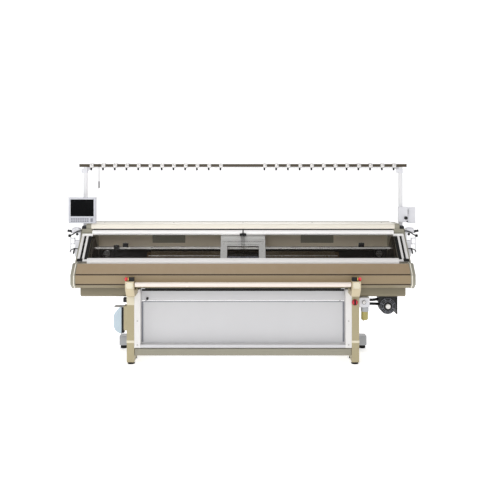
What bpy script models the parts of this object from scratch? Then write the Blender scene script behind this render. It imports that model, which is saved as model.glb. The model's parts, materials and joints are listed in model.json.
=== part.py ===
"""Flat-bed knitting machine, modelled as separate pieces in metres.

Front is -Y, up is +Z, and the origin is on the floor under the middle of the machine.
"""
import math

import bmesh
import bpy
from mathutils import Vector

# ---------------------------------------------------------------- clearances
FIT = 0.0003            # gap kept between faces that touch
RUNNING = 0.0006        # gap kept by sliding faces

# ---------------------------------------------------------------- overall stations
DEPTH = 0.95            # start bar front to cone table back
INNER_HALF = 1.50       # middle of the machine to the inside of an end housing
HOUSING_WIDTH = 0.112
LEG_SPACING = 1.082     # middle of the machine to the middle of a leg
BEAM_BOTTOM = 0.76      # height of the leg tops
BED_RISE = 0.30         # knitting gap above the leg tops
GAP_HEIGHT = BEAM_BOTTOM + BED_RISE
YARN_RAIL_HEIGHT = 1.93

# ---------------------------------------------------------------- beds
BED_ANGLE = math.radians(45.0)
BED_HALF = 0.95
BED_SLOPE = 0.24        # length of a bed down its slope
BED_THICKNESS = 0.030
BED_GAP_HALF = 0.003
NEEDLE_HALF = 0.914
NEEDLE_HEIGHT = 0.003
SLOT_HALF = 0.020       # fabric slot between the two bed beams
BEAM_OUTER = 0.205      # middle of the machine to the outside of a bed beam
BEAM_FOOT_HEIGHT = 0.045
RACKING_TRAVEL = 0.025

# ---------------------------------------------------------------- rails
SLIDE_RAIL_WIDTH = 0.024
SLIDE_RAIL_TOP = 0.042  # above the bed surface
SLIDE_RAIL_CLEARANCE = 0.012
CARRIER_RAIL_OFFSET = 0.030
CARRIER_RAIL_WIDTH = 0.010
CARRIER_RAIL_HEIGHT = 0.018
CARRIER_RAIL_RISE = 0.028
BRACKET_PLATE = 0.028

# ---------------------------------------------------------------- carriage
CARRIAGE_HALF = 0.219
CARRIAGE_SIDE = 0.014
CARRIAGE_LIFT = 0.074   # underside of the carriage arms above a bed
CARRIAGE_TOP = 0.108    # outside of the carriage arms above a bed
CARRIAGE_WINDOW_HALF = 0.154
COVER_SKIN = 0.012
CAM_BOX_HALF = 0.188
YARN_CARRIER_WIDTH = 0.055
YARN_CARRIER_BODY = 0.010

# ---------------------------------------------------------------- belt drive
PULLEY_RADIUS = 0.035
PULLEY_WIDTH = 0.018
BELT_THICKNESS = 0.002
BELT_WIDTH = 0.020
BELT_DROP = 0.060       # middle of the belt below the knitting gap
BELT_HEIGHT = GAP_HEIGHT - BELT_DROP
BELT_BEHIND = 0.1253    # middle of the belt behind the lower edge of the rear bed
BELT_DEPTH = BED_SLOPE * math.cos(BED_ANGLE) + BELT_BEHIND
PULLEY_INSET = 0.085    # pulley axis to the inside of an end housing
MOTOR_SIZE = 0.085
MOTOR_LENGTH = 0.090
RACKING_SCREW_RADIUS = 0.009

# ---------------------------------------------------------------- sliding window
WINDOW_HALF = INNER_HALF - 0.010
WINDOW_OFFSET = 0.1364  # inner panel above the front bed's plane
PANEL_THICKNESS = 0.004
PANEL_SPACING = 0.004
PANEL_LAP = 0.020
STRIP_EDGES = (0.028, 0.048, 0.070, 0.094)  # edges of the two end strips past INNER_HALF
WINDOW_TOP_SLOPE = -0.102
WINDOW_BOTTOM_SLOPE = 0.200

# ---------------------------------------------------------------- covers
COVER_HALF = INNER_HALF + 0.073
SHEET = 0.003
END_CAP_WIDTH = 0.047
COVER_FRONT = 0.390
COVER_GROOVE = 0.007    # depth of the two grooves along the front cover
TOP_COVER_HALF = INNER_HALF + 0.010
TOP_COVER_RISE = 0.225  # top cover above the knitting gap
TOP_COVER_BOTTOM = GAP_HEIGHT + TOP_COVER_RISE
TOP_COVER_HEIGHT = 0.050
TOP_COVER_DEPTH = 0.235
CONE_TABLE_HALF = INNER_HALF - 0.050
CONE_TABLE_THICKNESS = 0.022
REAR_COVER_DEPTH = BELT_DEPTH + 0.145
PAN_HEIGHT = 0.110
PAN_HALF_DEPTH = 0.210
PAN_CHAMFER = 0.020
BACK_PANEL_DEPTH = BELT_DEPTH + 0.005

# ---------------------------------------------------------------- stand
LEG_WIDTH = 0.072
LEG_DEPTH = 0.100
LEG_FRONT = 0.230
FOOT_BEAM_BOTTOM = 0.037
FOOT_BEAM_HEIGHT = 0.080
FOOT_HEIGHT = 0.023
STABILISER_HALF = 1.29
STABILISER_SIZE = 0.100
DUCT_WIDTH = 0.030      # cable duct on the left leg
CROSSBAR_BOTTOM = 0.084
CROSSBAR_HEIGHT = 0.066

# ---------------------------------------------------------------- start bar and switches
START_BAR_RADIUS = 0.0215
START_BAR_HEIGHT = BEAM_BOTTOM + 0.051
START_BAR_CRANK = 0.030
BAR_BRACKET_WIDTH = 0.080
BAR_BRACKET_OFFSET = 0.010   # outer face past the middle of the leg
BAR_BRACKET_DROP = 0.121     # bottom of a bracket below the bar's middle
BAR_BRACKET_GAP = 0.012
ESTOP_RADIUS = 0.019
ESTOP_TRAVEL = 0.005
SWITCH_RADIUS = 0.029
SWITCH_HEIGHT = BEAM_BOTTOM - 0.158

# ---------------------------------------------------------------- chute
CHUTE_POST = 0.059
CHUTE_BOTTOM = 0.162
CHUTE_TOP = BEAM_BOTTOM - 0.036
CHUTE_DEPTH = 0.090
DOOR_BOTTOM = CHUTE_TOP - 0.123

# ---------------------------------------------------------------- take-down
ROLLER_RADIUS = 0.024
ROLLER_HEIGHT = BEAM_BOTTOM - 0.140
ROLLER_HALF = 0.954
BAFFLE_BOTTOM = ROLLER_HEIGHT + 0.020
TAKEDOWN_PLATE = 0.010

# ---------------------------------------------------------------- yarn stand
STAND_POST = 0.036
STAND_POST_HALF = INNER_HALF + 0.094
STAND_DEPTH = 0.120
RAIL_HALF = STAND_POST_HALF + 0.056
RAIL_SIZE = 0.030
TENSION_FIRST = 0.222
TENSION_PITCH = 0.1185
TENSION_PER_SIDE = 12

# ---------------------------------------------------------------- monitor
MONITOR_WIDTH = 0.270
MONITOR_HEIGHT = 0.256
MONITOR_THICKNESS = 0.045
MONITOR_BOTTOM = TOP_COVER_BOTTOM + 0.057

# ---------------------------------------------------------------- services
BOTTLE_TOP = BEAM_BOTTOM - 0.211
BOTTLE_HEIGHT = 0.253
FILTER_TOP = BEAM_BOTTOM - 0.120
BLOWER_RADIUS = 0.078
BLOWER_DROP = 0.100      # blower's middle below a pan
BLOWER_OFFSET = 0.287    # blower's middle past the right leg
HOSE_RADIUS = 0.013

SIDES = (("left", -1), ("right", 1))

# ---------------------------------------------------------------- finishes
FINISHES = {
    "tan_paint": ((0.37, 0.27, 0.18), 0.45, 0.0),
    "leg_paint": ((0.42, 0.37, 0.27), 0.50, 0.0),
    "beige_paint": ((0.60, 0.51, 0.40), 0.45, 0.0),
    "olive_paint": ((0.24, 0.22, 0.16), 0.55, 0.0),
    "white_paint": ((0.80, 0.79, 0.77), 0.40, 0.0),
    "cream_paint": ((0.75, 0.70, 0.64), 0.40, 0.0),
    "grey_paint": ((0.40, 0.41, 0.44), 0.50, 0.0),
    "steel": ((0.45, 0.44, 0.42), 0.30, 1.0),
    "dark_steel": ((0.08, 0.07, 0.06), 0.45, 0.8),
    "aluminium": ((0.55, 0.55, 0.54), 0.35, 0.9),
    "black_plastic": ((0.015, 0.015, 0.015), 0.50, 0.0),
    "grey_plastic": ((0.55, 0.55, 0.57), 0.50, 0.0),
    "red_plastic": ((0.50, 0.03, 0.04), 0.35, 0.0),
    "bottle_plastic": ((0.48, 0.56, 0.62), 0.30, 0.0),
    "rubber": ((0.02, 0.02, 0.02), 0.75, 0.0),
    "tinted_window": ((0.08, 0.07, 0.05), 0.08, 0.0),
}


# ---------------------------------------------------------------- bed frames
def front(slope, height):
    """(y, z) of a point given down the front bed's slope and square to its surface."""
    along = Vector((-math.cos(BED_ANGLE), -math.sin(BED_ANGLE)))
    square = Vector((-math.sin(BED_ANGLE), math.cos(BED_ANGLE)))
    point = along * slope + square * height
    return (point.x, GAP_HEIGHT + point.y)


def rear(slope, height):
    """The same point mirrored to the rear bed."""
    y, z = front(slope, height)
    return (-y, z)


def slope_at_depth(depth, height):
    """Distance down the slope at which the surface offset by height is depth off the middle."""
    return (depth - height * math.sin(BED_ANGLE)) / math.cos(BED_ANGLE)


def slope_at_level(level, height):
    """Distance down the slope at which the surface offset by height is at a level."""
    return (GAP_HEIGHT - level + height * math.cos(BED_ANGLE)) / math.sin(BED_ANGLE)


# ---------------------------------------------------------------- mesh helpers
def finish_material(name):
    """The named finish as a Principled material, made once."""
    material = bpy.data.materials.get(name)
    if material is None:
        colour, roughness, metallic = FINISHES[name]
        material = bpy.data.materials.new(name)
        material.use_nodes = True
        shader = material.node_tree.nodes["Principled BSDF"]
        shader.inputs["Base Color"].default_value = (*colour, 1.0)
        shader.inputs["Roughness"].default_value = roughness
        shader.inputs["Metallic"].default_value = metallic
    return material


def prism(mesh, outline, low, high, axis="X"):
    """Extrude a closed outline between two stations along an axis."""
    place = {
        "X": lambda u, v, w: (w, u, v),
        "Y": lambda u, v, w: (u, w, v),
        "Z": lambda u, v, w: (u, v, w),
    }[axis]
    start, end = sorted((low, high))
    bottom = [mesh.verts.new(place(u, v, start)) for u, v in outline]
    top = [mesh.verts.new(place(u, v, end)) for u, v in outline]
    faces = [mesh.faces.new(bottom), mesh.faces.new(top)]
    for index in range(len(outline)):
        following = (index + 1) % len(outline)
        corners = (bottom[index], bottom[following], top[following], top[index])
        faces.append(mesh.faces.new(corners))
    bmesh.ops.recalc_face_normals(mesh, faces=faces)


def box(mesh, x, y, z):
    """A block between two stations on each axis."""
    prism(mesh, [(y[0], z[0]), (y[1], z[0]), (y[1], z[1]), (y[0], z[1])], x[0], x[1])


def circle(centre, radius, segments=24, begin=0.0):
    """Points around a circle."""
    points = []
    for step in range(segments):
        angle = begin + 2.0 * math.pi * step / segments
        points.append((centre[0] + radius * math.cos(angle), centre[1] + radius * math.sin(angle)))
    return points


def round_bar(mesh, centre, radius, low, high, axis="X", segments=24):
    """A cylinder between two stations along an axis."""
    prism(mesh, circle(centre, radius, segments), low, high, axis)


def turned(mesh, centre, profile, axis="Y", segments=24):
    """A solid of revolution; the profile lists (station, radius) from one end to the other."""
    spin = {
        "X": lambda s, a, b: (s, centre[0] + a, centre[1] + b),
        "Y": lambda s, a, b: (centre[0] + a, s, centre[1] + b),
        "Z": lambda s, a, b: (centre[0] + a, centre[1] + b, s),
    }[axis]
    rings = []
    for station, radius in profile:
        ring = [mesh.verts.new(spin(station, a, b)) for a, b in circle((0, 0), radius, segments)]
        rings.append(ring)
    faces = [mesh.faces.new(rings[0]), mesh.faces.new(rings[-1])]
    for first, second in zip(rings, rings[1:]):
        for index in range(segments):
            following = (index + 1) % segments
            corners = (first[index], first[following], second[following], second[index])
            faces.append(mesh.faces.new(corners))
    bmesh.ops.recalc_face_normals(mesh, faces=faces)


def piece(name, mesh, finish, origin=(0.0, 0.0, 0.0), smooth=False):
    """Turn a mesh into a named object whose origin is at the given point."""
    bmesh.ops.translate(mesh, verts=mesh.verts, vec=-Vector(origin))
    data = bpy.data.meshes.new(name)
    mesh.to_mesh(data)
    mesh.free()
    if smooth:
        data.shade_smooth()
        data.set_sharp_from_angle(angle=math.radians(35))
    data.materials.append(finish_material(finish))
    result = bpy.data.objects.new(name, data)
    result.location = origin
    bpy.context.collection.objects.link(result)
    return result


def boolean(target, tool_mesh, operation):
    """Join or cut a target with a tool mesh, given in world space."""
    bmesh.ops.translate(tool_mesh, verts=tool_mesh.verts, vec=-target.location)
    data = bpy.data.meshes.new(target.name + "_tool")
    tool_mesh.to_mesh(data)
    tool_mesh.free()
    tool = bpy.data.objects.new(data.name, data)
    tool.location = target.location
    tool.hide_render = True
    tool.display_type = "WIRE"
    bpy.context.collection.objects.link(tool)
    modifier = target.modifiers.new(operation.lower(), "BOOLEAN")
    modifier.operation = operation
    modifier.solver = "EXACT"
    modifier.object = tool
    modifier.use_self = operation == "UNION"


def mirrored(mesh):
    """Add a copy of the whole mesh on the other side of X = 0, for tools and joined shapes."""
    copy = bmesh.ops.duplicate(mesh, geom=mesh.verts[:] + mesh.edges[:] + mesh.faces[:])["geom"]
    verts = [item for item in copy if isinstance(item, bmesh.types.BMVert)]
    faces = [item for item in copy if isinstance(item, bmesh.types.BMFace)]
    bmesh.ops.scale(mesh, verts=verts, vec=(-1.0, 1.0, 1.0))
    bmesh.ops.reverse_faces(mesh, faces=faces)


def add_box(target, x, y, z):
    """Join a block to a piece."""
    tool = bmesh.new()
    box(tool, x, y, z)
    boolean(target, tool, "UNION")


# ---------------------------------------------------------------- stand
def build_legs():
    """Each side of the stand: two posts, a foot beam and a head beam as one weldment."""
    inner = LEG_SPACING - LEG_WIDTH / 2
    outer = LEG_SPACING + LEG_WIDTH / 2
    rear_post = LEG_FRONT
    stabiliser_front = LEG_FRONT + LEG_DEPTH + FIT
    for name, side in SIDES:
        span = (side * inner, side * outer)
        outline = [
            (-LEG_FRONT, FOOT_HEIGHT),
            (-LEG_FRONT + LEG_DEPTH, FOOT_HEIGHT),
            (-LEG_FRONT + LEG_DEPTH, FOOT_BEAM_BOTTOM),
            (stabiliser_front - 2 * FIT, FOOT_BEAM_BOTTOM),
            (stabiliser_front - 2 * FIT, FOOT_BEAM_BOTTOM + FOOT_BEAM_HEIGHT),
            (rear_post, FOOT_BEAM_BOTTOM + FOOT_BEAM_HEIGHT),
            (rear_post, BEAM_BOTTOM - FIT),
            (-LEG_FRONT, BEAM_BOTTOM - FIT),
        ]
        mesh = bmesh.new()
        prism(mesh, outline, *span)
        leg = piece(name + "_leg", mesh, "leg_paint")
        hole = bmesh.new()
        box(hole, (side * (inner - 0.01), side * (outer + 0.01)),
            (-LEG_FRONT + LEG_DEPTH, rear_post - LEG_DEPTH),
            (FOOT_BEAM_BOTTOM + FOOT_BEAM_HEIGHT, BEAM_BOTTOM - 0.07))
        boolean(leg, hole, "DIFFERENCE")
        collar = bmesh.new()
        box(collar, (side * (inner + 0.001), side * (outer + 0.003)),
            (-LEG_FRONT - 0.003, -LEG_FRONT + LEG_DEPTH + 0.003), (0.210, 0.234))
        boolean(leg, collar, "UNION")
        if side < 0:
            add_box(leg, (side * (outer + DUCT_WIDTH), side * (outer - 0.004)),
                    (-LEG_FRONT + 0.002, -LEG_FRONT + LEG_DEPTH - 0.002),
                    (BEAM_BOTTOM - 0.430, BEAM_BOTTOM - 0.195))
        feet = bmesh.new()
        front_foot = -LEG_FRONT + LEG_DEPTH / 2
        foot(feet, (side * LEG_SPACING, front_foot), 0.036, FOOT_HEIGHT)
        foot(feet, (side * LEG_SPACING, 0.0), 0.028, FOOT_BEAM_BOTTOM)
        boolean(leg, feet, "UNION")


def foot(mesh, centre, radius, height):
    """Round levelling foot that reaches a little into the beam above it."""
    stem = radius * 0.6
    profile = [(0.0, radius), (height * 0.6, radius), (height * 0.8, stem), (height + 0.004, stem)]
    turned(mesh, centre, profile, "Z", 20)


def build_lower_beams():
    """The front crossbar, and the rear stabiliser beam with its feet."""
    reach = LEG_SPACING - LEG_WIDTH / 2 - FIT
    mesh = bmesh.new()
    crossbar_front = -LEG_FRONT + 0.015
    box(mesh, (-reach, reach), (crossbar_front, crossbar_front + 0.050),
        (CROSSBAR_BOTTOM, CROSSBAR_BOTTOM + CROSSBAR_HEIGHT))
    piece("front_crossbar", mesh, "olive_paint")

    mesh = bmesh.new()
    front_face = LEG_FRONT + LEG_DEPTH + FIT
    box(mesh, (-STABILISER_HALF, STABILISER_HALF), (front_face, front_face + STABILISER_SIZE),
        (FOOT_BEAM_BOTTOM, FOOT_BEAM_BOTTOM + STABILISER_SIZE))
    stabiliser = piece("rear_stabiliser", mesh, "grey_paint")
    feet = bmesh.new()
    foot(feet, (STABILISER_HALF - 0.040, front_face + STABILISER_SIZE / 2), 0.036, FOOT_BEAM_BOTTOM)
    mirrored(feet)
    boolean(stabiliser, feet, "UNION")


# ---------------------------------------------------------------- beds and beams
def bed_outline():
    """Cross-section of the front needle bed."""
    top_slope = slope_at_depth(BED_GAP_HALF, 0.0)
    low_slope = slope_at_depth(BED_GAP_HALF, -BED_THICKNESS)
    return [
        front(top_slope, 0.0),
        front(BED_SLOPE, 0.0),
        front(BED_SLOPE, -BED_THICKNESS),
        front(low_slope, -BED_THICKNESS),
    ]


def slide_rail_slopes():
    """Where the carriage's slide rail begins and ends down the slope."""
    begin = BED_SLOPE + SLIDE_RAIL_CLEARANCE
    return begin, begin + SLIDE_RAIL_WIDTH


def build_beds():
    """The bed beams, and the needle beds on them with their rows of needles."""
    under = -BED_THICKNESS - FIT
    rail_end = slide_rail_slopes()[1]
    beam = [
        front(slope_at_depth(SLOT_HALF, under), under),
        front(rail_end + 0.004, under),
        (-BEAM_OUTER, BEAM_BOTTOM + BEAM_FOOT_HEIGHT),
        (-BEAM_OUTER, BEAM_BOTTOM),
        (-SLOT_HALF, BEAM_BOTTOM),
    ]
    needles = [
        front(slope_at_depth(BED_GAP_HALF + 0.0012, 0.0), -0.001),
        front(BED_SLOPE - 0.030, -0.001),
        front(BED_SLOPE - 0.030, NEEDLE_HEIGHT),
        front(slope_at_depth(BED_GAP_HALF + 0.0012, 0.0), NEEDLE_HEIGHT),
    ]
    for name, turn in (("front", 1), ("rear", -1)):
        mesh = bmesh.new()
        prism(mesh, [(turn * y, z) for y, z in beam], -INNER_HALF, INNER_HALF)
        piece(name + "_bed_beam", mesh, "olive_paint")
        mesh = bmesh.new()
        prism(mesh, [(turn * y, z) for y, z in bed_outline()], -BED_HALF, BED_HALF)
        bed = piece(name + "_needle_bed", mesh, "dark_steel")
        row = bmesh.new()
        prism(row, [(turn * y, z) for y, z in needles], -NEEDLE_HALF, NEEDLE_HALF)
        boolean(bed, row, "UNION")


def build_rails():
    """Slide rails for the carriage, and the yarn carriers' rails with their end brackets."""
    begin, end = slide_rail_slopes()
    reach = INNER_HALF - BRACKET_PLATE - FIT
    outline = [
        front(begin, -BED_THICKNESS),
        front(end, -BED_THICKNESS),
        front(end, SLIDE_RAIL_TOP),
        front(begin, SLIDE_RAIL_TOP),
    ]
    for name, turn in (("front", 1), ("rear", -1)):
        mesh = bmesh.new()
        prism(mesh, [(turn * y, z) for y, z in outline], -reach, reach)
        piece(name + "_carriage_rail", mesh, "steel")

    under = -BED_THICKNESS
    profile = [
        front(end, under),
        front(end, SLIDE_RAIL_TOP + 0.020),
        front(WINDOW_TOP_SLOPE + 0.05, CARRIAGE_TOP - 0.01),
        (0.0, GAP_HEIGHT + 0.150),
        rear(0.02, CARRIAGE_TOP),
        rear(end, SLIDE_RAIL_TOP + 0.020),
        rear(end, under),
        rear(slope_at_depth(SLOT_HALF, under), under),
        front(slope_at_depth(SLOT_HALF, under), under),
    ]
    low = GAP_HEIGHT + CARRIER_RAIL_RISE
    mesh = bmesh.new()
    prism(mesh, profile, INNER_HALF - BRACKET_PLATE, INNER_HALF - FIT)
    mirrored(mesh)
    frame = piece("carrier_rail_frame", mesh, "dark_steel")
    for centre in (-CARRIER_RAIL_OFFSET, CARRIER_RAIL_OFFSET):
        add_box(frame, (-reach - 0.004, reach + 0.004),
                (centre - CARRIER_RAIL_WIDTH / 2, centre + CARRIER_RAIL_WIDTH / 2),
                (low, low + CARRIER_RAIL_HEIGHT))


# ---------------------------------------------------------------- carriage
def carriage_side_outline():
    """Arch-shaped side plate that straddles both beds."""
    foot = slide_rail_slopes()[1] + 0.010
    roof = GAP_HEIGHT + 0.1557
    ceiling = roof - 0.0307
    skin = CARRIAGE_TOP - 0.012
    return [
        front(foot, CARRIAGE_LIFT),
        front(foot, CARRIAGE_TOP),
        front(slope_at_level(roof, CARRIAGE_TOP), CARRIAGE_TOP),
        (0.120, roof),
        (0.200, roof - 0.080),
        (BELT_DEPTH - 0.033, GAP_HEIGHT - 0.010),
        rear(foot, CARRIAGE_TOP),
        rear(foot, CARRIAGE_LIFT),
        rear(0.080, CARRIAGE_LIFT),
        (0.075, ceiling),
        front(slope_at_level(ceiling, skin), skin),
        front(0.060, skin),
        front(0.090, CARRIAGE_LIFT),
    ]


def build_carriage():
    """The carriage casting, its cam boxes and its front cover."""
    outer = CARRIAGE_HALF - 0.010
    inner = outer - CARRIAGE_SIDE
    outline = carriage_side_outline()
    begin, end = slide_rail_slopes()
    roof = GAP_HEIGHT + 0.1557
    mesh = bmesh.new()
    prism(mesh, outline, inner, outer)
    mirrored(mesh)
    frame = piece("carriage_frame", mesh, "grey_paint")

    bars = bmesh.new()
    reach = inner + 0.004
    box(bars, (-reach, reach), (0.020, 0.116), (roof - 0.026, roof - 0.002))
    for side in (front, rear):
        high_end = BED_SLOPE - 0.040
        low_end = BED_SLOPE - 0.004
        prism(bars, [side(high_end, CARRIAGE_LIFT + 0.001), side(low_end, CARRIAGE_LIFT + 0.001),
                     side(low_end, CARRIAGE_TOP - 0.002), side(high_end, CARRIAGE_TOP - 0.002)],
              -reach, reach)
    belt_top = BELT_HEIGHT + PULLEY_RADIUS + BELT_THICKNESS
    box(bars, (-reach, reach), (BELT_DEPTH - 0.073, BELT_DEPTH - 0.039), (belt_top + 0.004, belt_top + 0.024))
    boolean(frame, bars, "UNION")

    clamp = bmesh.new()
    box(clamp, (-0.050, 0.050), (BELT_DEPTH - 0.045, BELT_DEPTH + BELT_WIDTH / 2),
        (belt_top + FIT, belt_top + 0.014))
    boolean(frame, clamp, "UNION")

    shoes = bmesh.new()
    for side in (front, rear):
        shoe = [side(begin + 0.001, SLIDE_RAIL_TOP + RUNNING), side(end - 0.001, SLIDE_RAIL_TOP + RUNNING),
                side(end - 0.001, CARRIAGE_LIFT + 0.006), side(begin + 0.001, CARRIAGE_LIFT + 0.006)]
        prism(shoes, shoe, inner - 0.040, outer - 0.003)
        prism(shoes, shoe, -inner + 0.040, -outer + 0.003)
    boolean(frame, shoes, "UNION")

    cam_end = BED_SLOPE - 0.008
    cam = [front(0.045, 0.007), front(cam_end, 0.007), front(cam_end, CARRIAGE_LIFT - FIT),
           front(0.092, CARRIAGE_LIFT - FIT), front(0.045, 0.055)]
    for name, turn in (("front", 1), ("rear", -1)):
        mesh = bmesh.new()
        prism(mesh, [(turn * y, z) for y, z in cam], -CAM_BOX_HALF, CAM_BOX_HALF)
        piece(name + "_cam_box", mesh, "dark_steel")

    skin = CARRIAGE_TOP + FIT
    face = skin + COVER_SKIN
    foot = slide_rail_slopes()[1] + 0.008
    top = roof + FIT
    profile = [
        front(foot, skin),
        front(foot, face),
        front(-0.050, face),
        front(-0.050, face - 0.005),
        front(-0.062, face - 0.005),
        front(-0.062, face),
        front(slope_at_level(top + 0.006, face), face),
        (0.118, top + 0.006),
        (0.118, top),
        front(slope_at_level(top, skin), skin),
    ]
    mesh = bmesh.new()
    prism(mesh, profile, -CARRIAGE_HALF, CARRIAGE_HALF)
    cover = piece("carriage_cover", mesh, "aluminium")
    hole = bmesh.new()
    prism(hole, [front(0.022, skin - 0.02), front(0.245, skin - 0.02),
                 front(0.245, face + 0.02), front(0.022, face + 0.02)],
          -CARRIAGE_WINDOW_HALF, CARRIAGE_WINDOW_HALF)
    boolean(cover, hole, "DIFFERENCE")


def build_yarn_carriers():
    """Three yarn carriers, each on its own face of a carrier rail."""
    low = GAP_HEIGHT + CARRIER_RAIL_RISE
    rows = (
        ("yarn_carrier_1", -1, -1, -1.250),
        ("yarn_carrier_2", -1, 1, -1.165),
        ("yarn_carrier_3", 1, -1, 1.180),
    )
    for name, rail, face, rest in rows:
        rail_face = rail * CARRIER_RAIL_OFFSET + face * (CARRIER_RAIL_WIDTH / 2 + RUNNING)
        back = rail_face + face * YARN_CARRIER_BODY
        outside = rail == face
        lane = rail * (0.012 if outside else 0.004)
        arm_low = low - (0.022 if outside else 0.0115)
        half = YARN_CARRIER_WIDTH / 2
        body_y = sorted((rail_face, back))
        mesh = bmesh.new()
        box(mesh, (rest - half, rest + half), body_y, (low - 0.006, low + CARRIER_RAIL_HEIGHT + 0.016))
        carrier = piece(name, mesh, "black_plastic", (rest, 0.0, low))
        stem = bmesh.new()
        box(stem, (rest - 0.010, rest + 0.010), (body_y[0] + 0.001, body_y[1] - 0.001),
            (arm_low, low))
        boolean(carrier, stem, "UNION")
        arm = bmesh.new()
        inner_y = sorted((lane - rail * 0.002, back if outside else rail_face))
        inner_y = [inner_y[0] + 0.0015, inner_y[1] - 0.0015]
        box(arm, (rest - 0.006, rest + 0.006), inner_y, (arm_low + 0.0005, arm_low + 0.0055))
        boolean(carrier, arm, "UNION")


# ---------------------------------------------------------------- drives
def build_belt_drive():
    """Toothed belt along the back of the carriage, with its drive and idler pulleys."""
    axis_x = INNER_HALF - PULLEY_INSET
    y = (BELT_DEPTH - BELT_WIDTH / 2, BELT_DEPTH + BELT_WIDTH / 2)
    outer = PULLEY_RADIUS + BELT_THICKNESS
    inner = PULLEY_RADIUS + FIT
    half_turn = 16

    def loop(radius):
        points = []
        for centre, begin in ((axis_x, -math.pi / 2), (-axis_x, math.pi / 2)):
            for step in range(half_turn + 1):
                angle = begin + math.pi * step / half_turn
                points.append((centre + radius * math.cos(angle),
                               BELT_HEIGHT + radius * math.sin(angle)))
        return points

    mesh = bmesh.new()
    prism(mesh, loop(outer), y[0], y[1], "Y")
    belt = piece("drive_belt", mesh, "rubber")
    hollow = bmesh.new()
    prism(hollow, loop(inner), y[0] - 0.01, y[1] + 0.01, "Y")
    boolean(belt, hollow, "DIFFERENCE")

    for name, x in (("drive_pulley", axis_x), ("idler_pulley", -axis_x)):
        mesh = bmesh.new()
        half = PULLEY_WIDTH / 2
        turned(mesh, (x, BELT_HEIGHT),
               [(BELT_DEPTH - half, PULLEY_RADIUS), (BELT_DEPTH + half, PULLEY_RADIUS),
                (BELT_DEPTH + half, 0.010), (BELT_DEPTH + half + 0.008, 0.010)], "Y", 32)
        piece(name, mesh, "steel", (x, BELT_DEPTH, BELT_HEIGHT), smooth=True)


def build_drive_motor():
    """Servo motor of the carriage drive, behind the drive pulley."""
    half = MOTOR_SIZE / 2
    drive_front = BELT_DEPTH + PULLEY_WIDTH / 2 + 0.008 + FIT
    drive_x = INNER_HALF - PULLEY_INSET
    mesh = bmesh.new()
    box(mesh, (drive_x - half, drive_x + half), (drive_front, drive_front + MOTOR_LENGTH),
        (BELT_HEIGHT - half, BELT_HEIGHT + half))
    piece("drive_motor", mesh, "black_plastic")


def build_racking_screw():
    """Screw in line with the rear bed's end that shifts the bed sideways."""
    begin = BED_HALF + RACKING_TRAVEL + 0.002
    end = INNER_HALF - BRACKET_PLATE - FIT
    y, z = rear(BED_SLOPE / 2, -BED_THICKNESS + RACKING_SCREW_RADIUS + 0.008)
    mesh = bmesh.new()
    turned(mesh, (y, z), [(begin, RACKING_SCREW_RADIUS * 0.7), (begin + 0.020, RACKING_SCREW_RADIUS),
                          (end, RACKING_SCREW_RADIUS)], "X", 20)
    piece("racking_screw", mesh, "steel", (begin, y, z), smooth=True)


def build_takedown():
    """The pair of take-down rollers below the fabric slot, and the frame that hangs them."""
    for name, side in (("takedown_roller_front", -1), ("takedown_roller_rear", 1)):
        y = side * (ROLLER_RADIUS + RUNNING)
        mesh = bmesh.new()
        turned(mesh, (y, ROLLER_HEIGHT),
               [(-ROLLER_HALF, 0.009), (-ROLLER_HALF + 0.015, 0.009), (-ROLLER_HALF + 0.015, ROLLER_RADIUS),
                (ROLLER_HALF - 0.015, ROLLER_RADIUS), (ROLLER_HALF - 0.015, 0.009), (ROLLER_HALF, 0.009)],
               "X", 28)
        piece(name, mesh, "rubber", (0.0, y, ROLLER_HEIGHT), smooth=True)
    mesh = bmesh.new()
    inner = ROLLER_HALF + FIT
    foot_level = ROLLER_HEIGHT - 0.050
    plate_top = BEAM_BOTTOM - FIT
    prism(mesh, [(-0.060, foot_level), (0.060, foot_level), (0.080, plate_top), (-0.080, plate_top)],
          inner, inner + TAKEDOWN_PLATE)
    mirrored(mesh)
    frame = piece("takedown_frame", mesh, "grey_paint")
    outer = inner + TAKEDOWN_PLATE
    baffle = ROLLER_RADIUS * 2 + 0.006
    add_box(frame, (-inner - 0.004, inner + 0.004), (baffle, baffle + 0.005),
            (BAFFLE_BOTTOM, BEAM_BOTTOM - 0.005))
    add_box(frame, (outer - 0.002, LEG_SPACING - LEG_WIDTH / 2 - 0.004),
            (-MOTOR_SIZE / 2, MOTOR_SIZE / 2), (ROLLER_HEIGHT - 0.030, ROLLER_HEIGHT - 0.030 + MOTOR_SIZE))


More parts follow.
